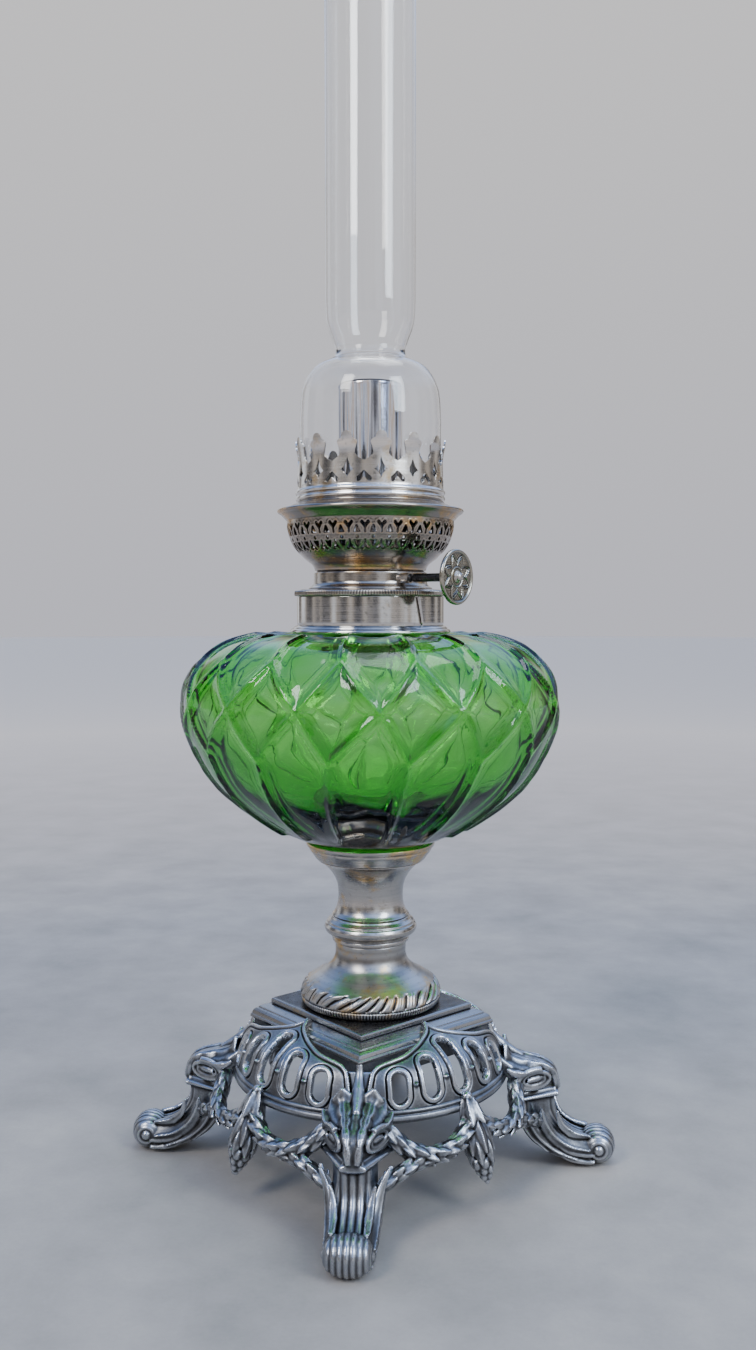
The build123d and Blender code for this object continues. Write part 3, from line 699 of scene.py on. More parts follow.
def make_stem():
    """Leafy foot, and the plain turned knop, vase and cup over it."""
    foot = smooth_line([(25.2, 60.3), (26.2, 61.6), (26.5, 63.3), (26.1, 65.5), (24.5, 68.3), (21.6, 70.4),
                        (18.4, 72.2), (15.2, 74.8), (13.6, 78), (13.4, 81), (13.7, 83.2)])
    foot = np.vstack([[(BORE, 60.0), (24.4, 60.0)], finely(foot, 0.42), [(13.5, 83.6), (BORE, 83.6)]])
    turned("stem_foot_leafy", "stem_foot", foot, FINE_RIBS * 5, stem_foot_metal, *STEM[1:],
           relief=foot_relief, cavity=(10, 0.11))
    knop = fillet([(BORE, 83.7), (14.3, 83.7), (14.7, 84.2), (14.7, 85.3), (14.1, 85.7), (15.2, 86.1),
                   (17.2, 87.6), (17.7, 89.2), (17.1, 90.6), (16.5, 91.0), (16.6, 91.5), (16.1, 91.9),
                   (15.2, 92.6), (14.7, 93.5), (BORE, 93.5)], 0.5)
    vase = smooth_line([(14.7, 93.9), (13.4, 95.6), (12.5, 98.6), (12.4, 102.8), (13.0, 106.4), (14.8, 110.0),
                        (17.6, 113.2), (20.1, 114.8)])
    vase = finely(vase, TURNING_STEP)
    vase = np.vstack([[(BORE, 93.6), (14.4, 93.6)], vase, [(20.1, 115.0), (BORE, 115.0)]])
    cup = fillet([(BORE, 115.1), (20.2, 115.1), (20.9, 115.5), (21.6, 116.6), (22.9, 118.4), (23.4, 119.2),
                  (23.3, 119.7), (24.2, 120.3), (24.6, 121.2), (24.4, 121.9), (23.5, 121.9), (22.4, 119.8),
                  (21.2, 117), (BORE, 117)], 0.4)
    outlines = {"stem_knop": finely(knop, TURNING_STEP), "stem_vase": vase,
                "font_cup": finely(cup, TURNING_STEP)}
    for node, outline in outlines.items():
        turned(node + "_turned", node, outline, 192, *STEM)


# ---------------------------------------------------------------- collar and burner
KNURLS = 170
SEAM_ANGLE = 42
COLLAR_TOP = 214.5
THREAD_PITCH = 1.6


def collar_relief(angle, radius, height):
    """Slanting soldered seam down the band of the collar."""
    seam = radians(SEAM_ANGLE) - 0.0085 * (height - COLLAR_TOP)
    across = (angle - seam) * radius
    wall = (radius > 27.4) & (height > 204)
    return np.where(wall, -0.45 * bump(across, 0, 0.7), 0)


def screw_relief(angle, radius, height):
    """Knurled rim above a threaded sleeve."""
    rim = (radius > 28.3) & (height > 214.8)
    sleeve = (radius > 25.0) & (height < 214.2) & (height > 205.3)
    knurl = 0.3 * np.abs(np.cos(angle * KNURLS / 2)) - 0.2
    thread = 0.22 * np.cos(tau * height / THREAD_PITCH - angle) - 0.3
    return np.where(rim, knurl, np.where(sleeve, thread, 0))


def make_collar_and_burner():
    """Collar on the glass neck, threaded sleeve, drum of the wick feed, rolled rim and wick tube."""
    collar = fillet([(25.5, 200.8), (30.0, 200.8), (30.3, 201.5), (29.9, 202.3), (29.1, 202.5),
                     (28.9, 203.1), (28.1, 203.5), (27.5, 203.6), (27.6, 204.5), (27.6, 214.4),
                     (27.2, COLLAR_TOP), (25.5, COLLAR_TOP)], 0.35)
    turned("collar_banded", "font_collar", collar, 480, collar_metal, "lamp_base", "collar_plating",
           step=0.6, relief=collar_relief, cavity=(8, 0.15))

    screw = fillet([(21.4, 217.3), (21.4, 216.4), (23.6, 215.4), (23.6, 205.0), (25.3, 205.0), (25.3, 214.6),
                    (28.2, 214.6), (28.6, 215.0), (28.6, 216.3), (28.1, 216.8), (26.6, 216.9), (25.9, 217.2),
                    (23.5, 217.3)], 0.25)
    turned("burner_screw_knurled", "burner_screw", screw, KNURLS * 4, *BURNER,
           step=0.36, relief=screw_relief, cavity=(6, 0.1))

    drum = fillet([(20.6, 217.35), (23.3, 217.35), (23.2, 217.8), (22.2, 218.3), (21.5, 219.2), (21.3, 220.0),
                   (21.3, 223.3), (20.8, 223.7), (20.2, 223.8), (20.2, 224.1), (19.4, 224.1), (19.4, 223.2),
                   (20.6, 222.8)], 0.3)
    turned("burner_drum_turned", "burner_drum", drum, 192, *BURNER, step=1.0, cavity=(6, 0.15))

    rim_top = [(31.2, 242.5), (31.7, 243.0), (32.5, 243.9), (33.6, 245.0), (34.6, 245.6), (34.95, 246.3),
               (34.5, 246.9), (33.2, 247.2), (31.2, 247.7), (29.3, 248.5), (28.1, 249.0), (27.9, 249.3)]
    rim_back = [(27.2, 249.3), (27.4, 248.4), (29.0, 247.7), (31.0, 246.9), (33.0, 246.4), (33.8, 246.1),
                (32.9, 245.4), (31.8, 244.4), (31.0, 243.4), (30.6, 242.6)]
    outline = np.vstack([smooth_line(rim_top, 4), smooth_line(rim_back, 3)])
    turned("gallery_rim_rolled", "gallery_rim", outline, 256, *BASKET, cavity=(6, 0.2))

    tube = fillet([(11.5, 224.2), (12.0, 224.2), (12.0, 291.9), (12.2, 292.4), (12.1, 293.0), (11.6, 293.1),
                   (11.5, 292.4), (11.5, 224.2)], 0.15)
    turned("outer_wick_tube_drawn", "outer_wick_tube", tube[:-1], 160, tube_metal, "burner", "bright_tube",
           step=5)


# ---------------------------------------------------------------- pierced basket and crown
MOTIF_COUNT = 33
MOTIF_PHASE = 1.25
BASKET_LINE = [(20.9, 224.2), (21.1, 225.0), (21.9, 226.4), (23.4, 227.6), (25.2, 229.1), (28.9, 233.4),
               (30.9, 238.6), (31.4, 242.6)]
BASKET_ROWS = (236.7, 235.2, 234.2)
BASKET_WALL = 0.9
LOW_NOTCH = 0.92    # size of the lower notches against the upper ones
CROWN_LINE = [(27.0, 249.3), (27.5, 249.7), (28.0, 250.6), (27.8, 251.5), (27.5, 251.8), (27.9, 252.4),
              (28.1, 253.1), (27.7, 253.9), (27.4, 254.4), (27.35, 257.5), (27.2, 261.5), (27.15, 264.0),
              (27.4, 267.0), (28.0, 270.0), (28.3, 272.9)]
PRONG_COUNT = 14
PRONG_PHASE = -12.9
PRONG_LINE = [(6.4, 261.0), (6.2, 262.2), (4.4, 263.3), (2.95, 264.6), (2.9, 266.0), (3.5, 268.0),
              (3.75, 269.0), (3.1, 269.8), (2.1, 270.4)]
PRONG_FOOT = 262.0
PRONG_TIP = 270.3
PRONG_HEAD = (2.05, 270.65)    # radius and height of its round tip
STAR_HEIGHT = 259.2
STAR_REACH = (2.6, 4.9, 3.2)    # sideways, up and down
CROWN_WALL = 0.6


def capsule(x, y, a, b, radius):
    """Distance outside a round-ended bar from a to b."""
    dx, dy = b[0] - a[0], b[1] - a[1]
    t = np.clip(((x - a[0]) * dx + (y - a[1]) * dy) / (dx * dx + dy * dy + 1e-9), 0, 1)
    return np.hypot(x - a[0] - t * dx, y - a[1] - t * dy) - radius


def y_notch(x, y):
    """Notch like a letter Y, 4.7 mm tall, its foot at the origin."""
    x = np.abs(x)
    stem = capsule(x, y, (0, 0.35), (0, 2.4), 0.42)
    arm = capsule(x, y, (0, 2.3), (1.12, 3.95), 0.64)
    return np.minimum(stem, arm)


def bell(x, y):
    """Bell-shaped hole 2.9 mm tall, its base at y = 0."""
    half = 0.3 + 1.05 * np.clip(1 - y / 2.9, 0, 1) ** 0.8
    return np.maximum(np.abs(x) - half, np.maximum(-y, y - 2.9))


class Sheet:
    """Surface of revolution on a grid: columns run round the lamp, rows up its outline."""

    def __init__(self, line, columns, rows, start=0.0, sweep=tau):
        self.line = evenly(np.asarray(line, float), rows)
        self.normals = outline_normals(self.line, False)
        steps = np.linalg.norm(np.diff(self.line, axis=0), axis=1)
        self.run = np.concatenate([[0], np.cumsum(steps)])
        self.columns, self.rows, self.start = columns, rows, start
        self.step = sweep / (columns if sweep == tau else columns - 1)
        self.lift = np.zeros((columns, rows))

    def grid(self):
        """Angle, radius, height and run at every grid place."""
        angle = self.start + self.step * np.arange(self.columns)[:, None]
        return np.broadcast_arrays(angle, *self.line.T[:, None, :], self.run[None, :])

    def run_at(self, height):
        """Way up the outline to a height."""
        return np.interp(height, self.line[:, 1], self.run)

    def __call__(self, i, j):
        """Outer points and normals at grid places, with the relief added."""
        angle, row = self.start + self.step * i, np.arange(self.rows)
        radius, height = (np.interp(j, row, values) for values in self.line.T)
        normal_out, normal_up = (np.interp(j, row, values) for values in self.normals.T)
        normal = polar(normal_out, angle, normal_up)
        return polar(radius, angle, height) + normal * self.lift_at(i, j)[:, None], normal

    def lift_at(self, i, j):
        """Relief between grid places."""
        i0, j0 = np.floor(i).astype(int), np.floor(j).astype(int)
        fi, fj = i - i0, j - j0
        i0, i1, j1 = i0 % self.columns, (i0 + 1) % self.columns, np.minimum(j0 + 1, self.rows - 1)
        low = self.lift[i0, j0] * (1 - fi) + self.lift[i1, j0] * fi
        high = self.lift[i0, j1] * (1 - fi) + self.lift[i1, j1] * fi
        return low * (1 - fj) + high * fj


def around(angle, phase, count, radius):
    """Distance in mm round the lamp to the nearest of count evenly spaced places."""
    step = tau / count
    return ((angle - radians(phase) + step / 2) % step - step / 2) * radius


def make_basket():
    """Thin bowl pierced by two rows of notches and bells and one of round holes."""
    sheet = Sheet(smooth_line(BASKET_LINE), MOTIF_COUNT * 20, 74)
    angle, radius, height, run = sheet.grid()
    at_notch = around(angle, MOTIF_PHASE, MOTIF_COUNT, radius)
    at_bell = around(angle, MOTIF_PHASE + 180 / MOTIF_COUNT, MOTIF_COUNT, radius)
    upper, middle, lower = (sheet.run_at(level) for level in BASKET_ROWS)
    holes = [y_notch(at_notch, run - upper), bell(at_bell, run - upper - 0.1),
             np.hypot(at_bell, run - middle) - 0.68,
             bell(at_bell, lower - run),
             y_notch(at_notch / LOW_NOTCH, (lower + 0.3 - run) / LOW_NOTCH) * LOW_NOTCH]
    field = np.minimum.reduce(holes)
    sheet.lift = 0.12 * bump(field, 0.35, 0.35) - 0.1 * bump(height, 243.0, 0.5)
    mesh = perforated("basket_pierced", sheet, field, BASKET_WALL, looks=(basket_metal, soot_and_shade_lining))
    store_cavity(mesh, 5, 0.1)
    piece("basket_pierced", mesh, *BASKET, ["air_basket"])


def prong_half_width(height):
    """Half width of a prong at a height: wide foot, pinched waist, shoulders and a round tip."""
    line = smooth_line(PRONG_LINE, 6)
    order = np.argsort(line[:, 1])
    return np.interp(height, line[order, 1], line[order, 0])


def make_crown():
    """Sprung ring with beads at its foot, pierced by stars and hearts, and fourteen round-headed prongs."""
    sheet = Sheet(smooth_line(CROWN_LINE, 6), PRONG_COUNT * 44, 96)
    angle, radius, height, _ = sheet.grid()
    at_prong = around(angle, PRONG_PHASE, PRONG_COUNT, radius)
    at_valley = around(angle, PRONG_PHASE + 180 / PRONG_COUNT, PRONG_COUNT, radius)
    body = np.where(height < PRONG_FOOT, 1.0, prong_half_width(height) - np.abs(at_prong))
    body = np.where(height > PRONG_TIP, -1.0, body)
    head = PRONG_HEAD[0] - np.hypot(at_prong, height - PRONG_HEAD[1])
    side, above, below = STAR_REACH
    reach = np.where(height > STAR_HEIGHT, above, below)
    star = (np.abs(at_prong / side) ** 0.7 + np.abs((height - STAR_HEIGHT) / reach) ** 0.7 - 1) * 1.6
    heart = capsule(np.abs(at_valley), height, (0, 257.9), (1.75, 256.1), 0.86)
    drop = capsule(np.abs(at_valley), height, (1.95, 256.2), (2.0, 255.7), 0.8)
    field = np.minimum.reduce([np.maximum(body, head), star, heart, drop])
    mesh = perforated("crown_pierced", sheet, field, CROWN_WALL, looks=(crown_metal, soot_and_shade_lining))
    piece("crown_pierced", mesh, crown_metal, "burner", "crown_plating", ["crown"])


# ---------------------------------------------------------------- wick knob
SHAFT_ANGLE = 33.0
SHAFT_OFFSET = 7.5
SHAFT_HEIGHT = 221.0
KNOB_SEAT = 42.9
STAR_POINTS = 8
STAR_INNER = 5.1
STAR_DEPTH = 3.0


def shaft_place():
    """Turns local Z to the shaft's line, its origin beside the burner's axis."""
    a = radians(SHAFT_ANGLE)
    along = Vector((cos(a), -sin(a), 0))
    out = Vector((-sin(a), -cos(a), 0))
    side = along.cross(out)
    turn = Matrix((out, side, along)).transposed().to_4x4()
    return Matrix.Translation(out * SHAFT_OFFSET * MM + Vector((0, 0, SHAFT_HEIGHT * MM))) @ turn


def knob_relief(angle, radius, height):
    """Stamped star of eight points between a central ring and a raised rim."""
    face = height > KNOB_SEAT + 1.0
    turn = (angle * STAR_POINTS / tau) % 1.0
    zigzag = STAR_INNER + STAR_DEPTH * (1 - np.abs(turn * 2 - 1))
    zigzags = 0.42 * bump(radius, zigzag, 0.36) + 0.24 * bump(radius, zigzag - 1.15, 0.26)
    circle = 0.32 * bump(radius, 3.4, 0.4)
    pebble = 0.05 * np.sin(36 * angle) * np.sin(radius * 5.2) * smoothstep(8.2, 7.8, radius)
    return np.where(face, zigzags + circle + pebble, 0)


def make_knob():
    """Stamped disc, its domed nut and the shaft that carries them."""
    place, seat = shaft_place(), np.array([0, KNOB_SEAT])
    disc = seat + fillet([(1.5, -1.2), (3.0, -1.2), (3.4, -0.1), (9.2, 0), (9.75, 0.4), (9.8, 1.3),
                          (9.4, 1.85), (8.8, 1.8), (8.3, 1.25), (1.5, 1.2)], 0.3)
    turned("knob_stamped", "knob", disc, 384, knob_metal, "wick_knob", "knob_plating",
           step=0.22, relief=knob_relief, cavity=(8, 0.1), place=place)

    dome = smooth_line([(2.3, 1.25), (2.2, 1.6), (1.7, 2.2), (1.5, 2.7), (1.0, 3.1), (0.4, 3.3), (0, 3.3)], 4)
    nut = seat + np.vstack([[(0, 1.25)], dome])
    turned("knob_nut_domed", "knob_rivet", nut, 96, burner_flat, "wick_knob", "knob_plating",
           closed=False, place=place)

    shaft = fillet([(0, -14), (1.5, -14), (1.5, 24.2), (1.25, 24.6), (1.25, 25.4), (1.5, 25.8),
                    (1.5, KNOB_SEAT + 1.3), (0, KNOB_SEAT + 1.3)], 0.12)
    turned("wick_shaft_turned", "wick_shaft", shaft, 72, shaft_metal, "wick_knob", "dark_steel",
           step=1.5, closed=False, place=place)


# ---------------------------------------------------------------- plinth
CORNER_BEVEL = 0.35
MOULDING_FOOT = 51.9


def square_sweep(name, outline, is_second, looks):
    """Moulding round the square tower from a closed (half side, height) outline, its corners
    bevelled. It has the second look where is_second(polygon)."""
    depth, height = np.asarray(outline, float).T
    rings = []
    for k in range(4):
        facing = pi / 4 + k * pi / 2
        for end in (-1, 1):
            along = (depth - CORNER_BEVEL) * end
            x = depth * cos(facing) - along * sin(facing)
            y = depth * sin(facing) + along * cos(facing)
            rings.append(np.stack([x, y, height], 1))
    points = np.array(rings).reshape(-1, 3)
    faces = grid_faces(8, len(depth), rows_wrap=True, columns_wrap=True)
    mesh = mesh_from(name, points, faces, 30)
    for look in looks:
        mesh.materials.append(look)
    for polygon in mesh.polygons:
        polygon.material_index = int(is_second(polygon))
    return mesh


def make_plinth():
    """Moulded plinth on its plain neck, and the flat plate on it with a dark top."""
    moulding = fillet([(30.0, 44.5), (32.6, 44.5), (32.6, MOULDING_FOOT), (33.1, 52.2), (33.3, 52.8),
                       (33.2, 53.3), (32.8, 53.6), (32.8, 54.0), (32.4, 55.0), (31.5, 55.8), (30.9, 56.0),
                       (30.9, 56.4), (30.3, 56.7), (28.9, 57.3), (28.2, 57.6), (3.4, 57.6), (3.4, 54.0),
                       (30.0, 54.0), (30.0, 44.5)], 0.25)
    mesh = square_sweep("plinth_moulded", moulding[:-1], lambda p: p.center.z < MOULDING_FOOT * MM,
                        (plinth_metal, neck_metal))
    piece("plinth_moulded", mesh, plinth_metal, "lamp_base", "antique_casting", ["plinth"])
    plate = fillet([(3.4, 57.6), (26.9, 57.6), (27.4, 57.9), (27.4, 59.3), (27.0, 59.8), (26.2, 60.0),
                    (3.4, 60.0), (3.4, 57.6)], 0.25)
    mesh = square_sweep("plinth_plate_bevelled", plate[:-1], lambda p: p.normal.z <= 0.95,
                        (plate_metal, plinth_metal))
    piece("plinth_plate_bevelled", mesh, plate_metal, "lamp_base", "dark_plate", ["plinth_plate"])


# ---------------------------------------------------------------- pierced dome
DOME_LINE = [(51.5, 34.9), (50.5, 42.0), (47.6, 48.8), (43.2, 52.7), (39.0, 54.8), (36.0, 56.1),
             (33.0, 57.6), (30.9, 58.7), (29.3, 59.9)]
# Upper edge of a face's raised border: degrees from the leg and height.
ARCH = [(0, 38.0), (2.6, 42.0), (3.6, 45.0), (4.3, 48.0), (5.2, 50.0), (7.5, 51.4), (11, 52.2), (16, 52.9),
        (21, 53.6), (27, 54.7), (35, 56.2), (41, 57.6), (45, 59.6)]
# Openings of a face: degrees from its middle, lowest and highest place.
OPENINGS = [(-28.5, 39.6, 49.6), (-14.5, 40.4, 52.6), (0, 40.6, 55.4), (14.5, 40.4, 52.6), (28.5, 39.6, 49.6)]
STUD_TURNS = (-21.5, -7.25, 7.25, 21.5)
OPENING_HALF = 2.75
DOME_RECESS = 1.7
DOME_WALL = 2.1
NECK_TOP = 50.4


def dome_sheet():
    """One face of the dome as a grid, with its field and relief."""
    sheet = Sheet(smooth_line(DOME_LINE), 400, 150, start=-pi / 4, sweep=pi / 2)
    angle, radius, height, run = sheet.grid()
    from_leg = 45 - np.abs(np.degrees(angle))
    arch = np.array(ARCH, float)
    edge_run = sheet.run_at(np.interp(from_leg, arch[:, 0], arch[:, 1]))
    edge = evenly(smooth_line(arch, 4), 90)
    away = np.full(angle.shape, 99.0)
    for a, y in zip(edge[:, 0], sheet.run_at(edge[:, 1])):
        away = np.minimum(away, np.hypot(radians(1) * (from_leg - a) * radius, run - y))
    within = np.where(run < edge_run, away, -away)
    lift = -DOME_RECESS * smoothstep(0.1, -0.35, within)
    lift += 0.5 * smoothstep(-0.1, 0.4, within) * smoothstep(1.5, 1.1, within)
    lift -= 0.35 * bump(within, 1.75, 0.4)
    holes = []
    for turn, bottom, top in OPENINGS:
        x = (angle - radians(turn)) * radius
        low, high = sheet.run_at(bottom) + OPENING_HALF, sheet.run_at(top) - OPENING_HALF
        holes.append(capsule(x, run, (0, low), (0, high), OPENING_HALF))
    hole = np.minimum.reduce(holes)
    lift += 0.5 * smoothstep(-0.1, 0.3, hole) * smoothstep(1.75, 1.4, hole) - 0.45 * bump(hole, 1.95, 0.4)
    for turn in STUD_TURNS:
        x = (angle - radians(turn)) * radius
        y = run - sheet.run_at(46.6 - 0.05 * abs(turn))
        lift += 0.8 * bump(np.hypot(x, y), 0, 1.15) + 0.35 * bump(y, 0, 0.5) * bump(x, 0, 1.9)
    lift += 0.5 * smoothstep(1.2, 0.2, run)
    sheet.lift = lift
    cut = np.maximum(NECK_TOP - height, within + 0.05)
    return sheet, np.minimum(hole, cut)


def make_dome():
    """Four equal pierced faces, and the rail round their foot."""
    sheet, field = dome_sheet()
    mesh = perforated("dome_face", sheet, field, DOME_WALL, wrap=False, sharp=50)
    store_cavity(mesh, 14, 0.34)
    for name, angle in FACE_ANGLES.items():
        piece("dome_" + name, mesh, *CAST, ["pierced_dome"], turn=angle)
    rail = fillet([(49.2, 33.4), (50.9, 33.1), (52.1, 33.7), (52.6, 34.8), (52.2, 35.9), (51.5, 36.3),
                   (51.9, 36.8), (52.1, 37.4), (51.7, 38.0), (50.8, 38.3), (49.4, 38.3), (49.2, 33.4)], 0.4)
    turned("dome_rail", "pierced_dome", rail[:-1], 288, *CAST, cavity=(5, 0.3))


# ---------------------------------------------------------------- sculpted solids
# Directions that no bar and no bud runs along.
BAR_GUIDE = (0.31, 0.52, 0.79)
BUD_GUIDE = (0.3, 0.5, 0.81)


def unit(v):
    """The vectors at length 1."""
    return v / np.maximum(np.linalg.norm(v, axis=-1, keepdims=True), 1e-9)


def frames(spine, facing):
    """Directions along, across and out of a line, its out side turned towards facing."""
    along = unit(np.gradient(spine, axis=0))
    out = np.broadcast_to(np.asarray(facing, float), spine.shape)
    across = unit(np.cross(along, out))
    return along, across, np.cross(across, along)


def ring(centre, radius, side, other, count):
    """Circle of points in the plane of two directions."""
    turn = np.linspace(0, tau, count, endpoint=False)
    return centre + radius * (np.outer(np.cos(turn), side) + np.outer(np.sin(turn), other))


def rod(points, radii, around_count=14):
    """Round bar along a smooth line, its radius running through radii."""
    line = smooth_line(points, 6)
    line = evenly(line, len(line))
    size = np.interp(np.linspace(0, 1, len(line)), np.linspace(0, 1, len(radii)), radii)
    _, across, out = frames(line, BAR_GUIDE)
    return loft([ring(*spot, around_count) for spot in zip(line, size, across, out)])


# Half widths of a leaf, as shares of its width, at these shares of its length.
LEAF_PLACES = [0, 0.12, 0.4, 0.7, 0.9, 1]
POINTED = [0.35, 0.62, 1.0, 0.82, 0.42, 0.06]
SPREADING = [0.48, 0.52, 0.66, 1.00, 1.32, 0.30]
BLUNT = [0.45, 0.8, 1.0, 1.0, 0.8, 0.45]


def leaf(points, facing, width, thickness, lobes=0, cup=0.2, vein=0.5, along_count=16, across_count=9,
         outline=POINTED, veins=(0,)):
    """Closed leaf along a smooth line, with raised veins and its edges bent back by cup."""
    spine = evenly(smooth_line(points, 8), along_count)
    _, across, out = frames(spine, facing)
    u = np.linspace(0, 1, along_count)
    half = width * np.interp(u, LEAF_PLACES, outline)
    if lobes:
        half = half * (0.74 + 0.34 * np.abs(np.sin(pi * lobes * u)))
    v = np.linspace(-1, 1, across_count)
    body = thickness * 0.5 * np.sqrt(np.clip(1 - v ** 2, 0, 1)) * (1 - 0.3 * u[:, None] ** 2)
    bend = -cup * half[:, None] * v ** 2
    ridge = vein * sum(np.exp(-((v - at) / 0.17) ** 2) for at in veins) * (1 - u[:, None] ** 3)
    rings = []
    for k in range(along_count):
        flat = spine[k] + np.outer(v * half[k], across[k])
        top = flat + np.outer(bend[k] + body[k] + ridge[k], out[k])
        low = flat + np.outer(bend[k] - body[k], out[k])
        rings.append(np.vstack([top, low[::-1][1:-1]]))
    return loft(rings)


def bud(centre, axis, length, radius):
    """Small egg-shaped bud."""
    side = unit(np.cross(axis, BUD_GUIDE))
    other = np.cross(axis, side)
    return loft([ring(centre + axis * length * t / 2, radius * np.sqrt(1 - t * t), side, other, 10)
                 for t in np.linspace(-0.97, 0.97, 8)])


def mirrored(parts):
    """The parts and their mirror images across the leg's middle plane."""
    return parts + [(points * [-1, 1, 1], faces) for points, faces in parts]


def leg_point(out, side, height):
    """Place on the front leg: distance from the lamp's axis, sideways, and up."""
    return np.stack(np.broadcast_arrays(side, -np.asarray(out), height), -1).astype(float)


def leg_line(*places):
    """Line on the front leg through (out, side, height) places."""
    return [leg_point(*place) for place in places]


# ---------------------------------------------------------------- legs
# The leg's side view, as (distance from the lamp's axis, height).
BLOCK_TOP = [(44, 48.6), (47.3, 45.4), (52, 42.0), (57, 39.6), (62.5, 38.3), (66.2, 37.3), (68.8, 35.2),
             (69.9, 32.0), (70.0, 27)]
BLOCK_BOTTOM = [(44, 36.5), (51, 35.2), (53.8, 32), (54.8, 27), (70, 27)]
SHANK_OUTSIDE = [(69.9, 27), (70.1, 21.9), (71.2, 17.8), (73.4, 14.8), (76.6, 12.4), (80.0, 11.0),
                 (83.0, 10.6), (86.0, 10.8)]
SHANK_INSIDE = [(57.6, 27), (57.9, 20), (60.0, 15), (63.6, 10.6), (67.4, 6.8), (71.4, 3.4), (76.2, 0.9),
                (82.5, 0.15)]
# Path of the leaves from the cap up over the block.
LEAF_LINE = [(70.9, 28.4), (70.4, 31.8), (68.9, 35.2), (65.8, 37.2), (60.6, 38.5), (56.0, 39.8),
             (52.4, 42.0)]
BOW = [(44, 9.5), (50, 11.2), (54.5, 11.8), (70.2, 3.3)]    # half widths of the block
SHANK_WIDTH = [9.0, 8.9, 8.5, 8.1, 7.9, 7.7]
SHANK_TAPER = [0.46, 0.42, 0.22, 0.06, 0, 0]
# Grooves between the reeds, sideways from the leg's middle, and how deep they are.
SHANK_REEDS = [0, 1.45, 4.3, 7.0, 9.8]
FOOT_REEDS = [0, 1.1, 3.2, 5.3, 7.4]
SHANK_REED_DEPTH = 1.15
FOOT_REED_DEPTH = 0.75
FOOT_CENTRE = (86.5, 6.75)
FOOT_RADIUS = 6.7
FOOT_HALF = 7.4
# The cap's two mouldings: bottom, top and how far they stand out.
CAP = ((25.3, 28.6, 1.4), (28.0, 29.4, 0.3))
VOLUTE_CENTRE = (62.5, 33.5)
VOLUTE_REACH = (7.0, 3.7)


def prow(out):
    """Half width of the leg's block, narrowing towards its front like a ship's bow."""
    return np.interp(out, *zip(*BOW))


def rounded_section(out, half, bottom, top, power):
    """Cross-section of the leg at a distance from the axis, an oval at power 2 and squarer above it."""
    t = np.linspace(0, tau, 28, endpoint=False)
    c, s = np.cos(t), np.sin(t)
    x = half * np.sign(c) * np.abs(c) ** (2 / power)
    z = (top + bottom) / 2 + (top - bottom) / 2 * np.sign(s) * np.abs(s) ** (2 / power)
    return leg_point(out, x, z)


def leg_block():
    """Body behind the volutes, and the moulded cap under it."""
    top = smooth_line(BLOCK_TOP, 6)
    rings = []
    for out in np.linspace(44, 69.4, 34):
        high = np.interp(out, top[:, 0], top[:, 1]) - 0.6
        low = np.interp(out, *zip(*BLOCK_BOTTOM))
        rings.append(rounded_section(out, prow(out) - 1.2, low, high, 5.0))
    body = loft(rings)
    caps = []
    full = [(out, 1.0) for out in np.linspace(57, 70.2, 11)]
    spans = [(54.2, 0.6), (54.8, 1.0), *full, (70.9, 0.93), (71.4, 0.7)]
    for low, high, spread in CAP:
        rings = []
        for out, share in spans:
            middle, thick = (low + high) / 2, (high - low) / 2 * share
            half = (prow(out) + spread) * (0.85 + 0.15 * share)
            rings.append(rounded_section(out + spread - 1.1, half, middle - thick, middle + thick, 2.3))
        caps.append(loft(rings))
    return [body, *caps]


def reeds(side, deep, edges):
    """Rounded reeds side by side: 0 in the grooves at their edges, deep on the crests."""
    reed = np.interp(np.abs(side), edges, [0] + [k + 0.5 for k in range(len(edges) - 1)])
    return deep * np.sqrt(np.abs(np.cos(pi * reed)))


def shank():
    """Reeded leg below the cap, sweeping out to the foot."""
    count = 72
    outside = evenly(smooth_line(SHANK_OUTSIDE), count)
    inside = evenly(smooth_line(SHANK_INSIDE), count)
    middle, reach = (outside + inside) / 2, (outside - inside) / 2
    along, knots = np.linspace(0, 1, count), np.linspace(0, 1, len(SHANK_WIDTH))
    width, taper = np.interp(along, knots, SHANK_WIDTH), np.interp(along, knots, SHANK_TAPER)
    turn = np.linspace(0, tau, 160, endpoint=False)
    c, s = np.cos(turn), np.sin(turn)
    front = np.sign(c) * np.abs(c) ** 0.62
    rings = []
    for k in range(count):
        side = width[k] * np.sign(s) * np.abs(s) ** 0.8 * (1 - taper[k] * (0.5 + 0.5 * front))
        thick = np.linalg.norm(reach[k])
        raised = (reeds(side, SHANK_REED_DEPTH, SHANK_REEDS) - 0.7) * (np.abs(c) > 0.2)
        raised = raised * smoothstep(0, 0.08, along[k])
        swell = front * (1 + raised / thick)
        rings.append(leg_point(middle[k, 0] + reach[k, 0] * swell, side, middle[k, 1] + reach[k, 1] * swell))
    return [loft(rings)]


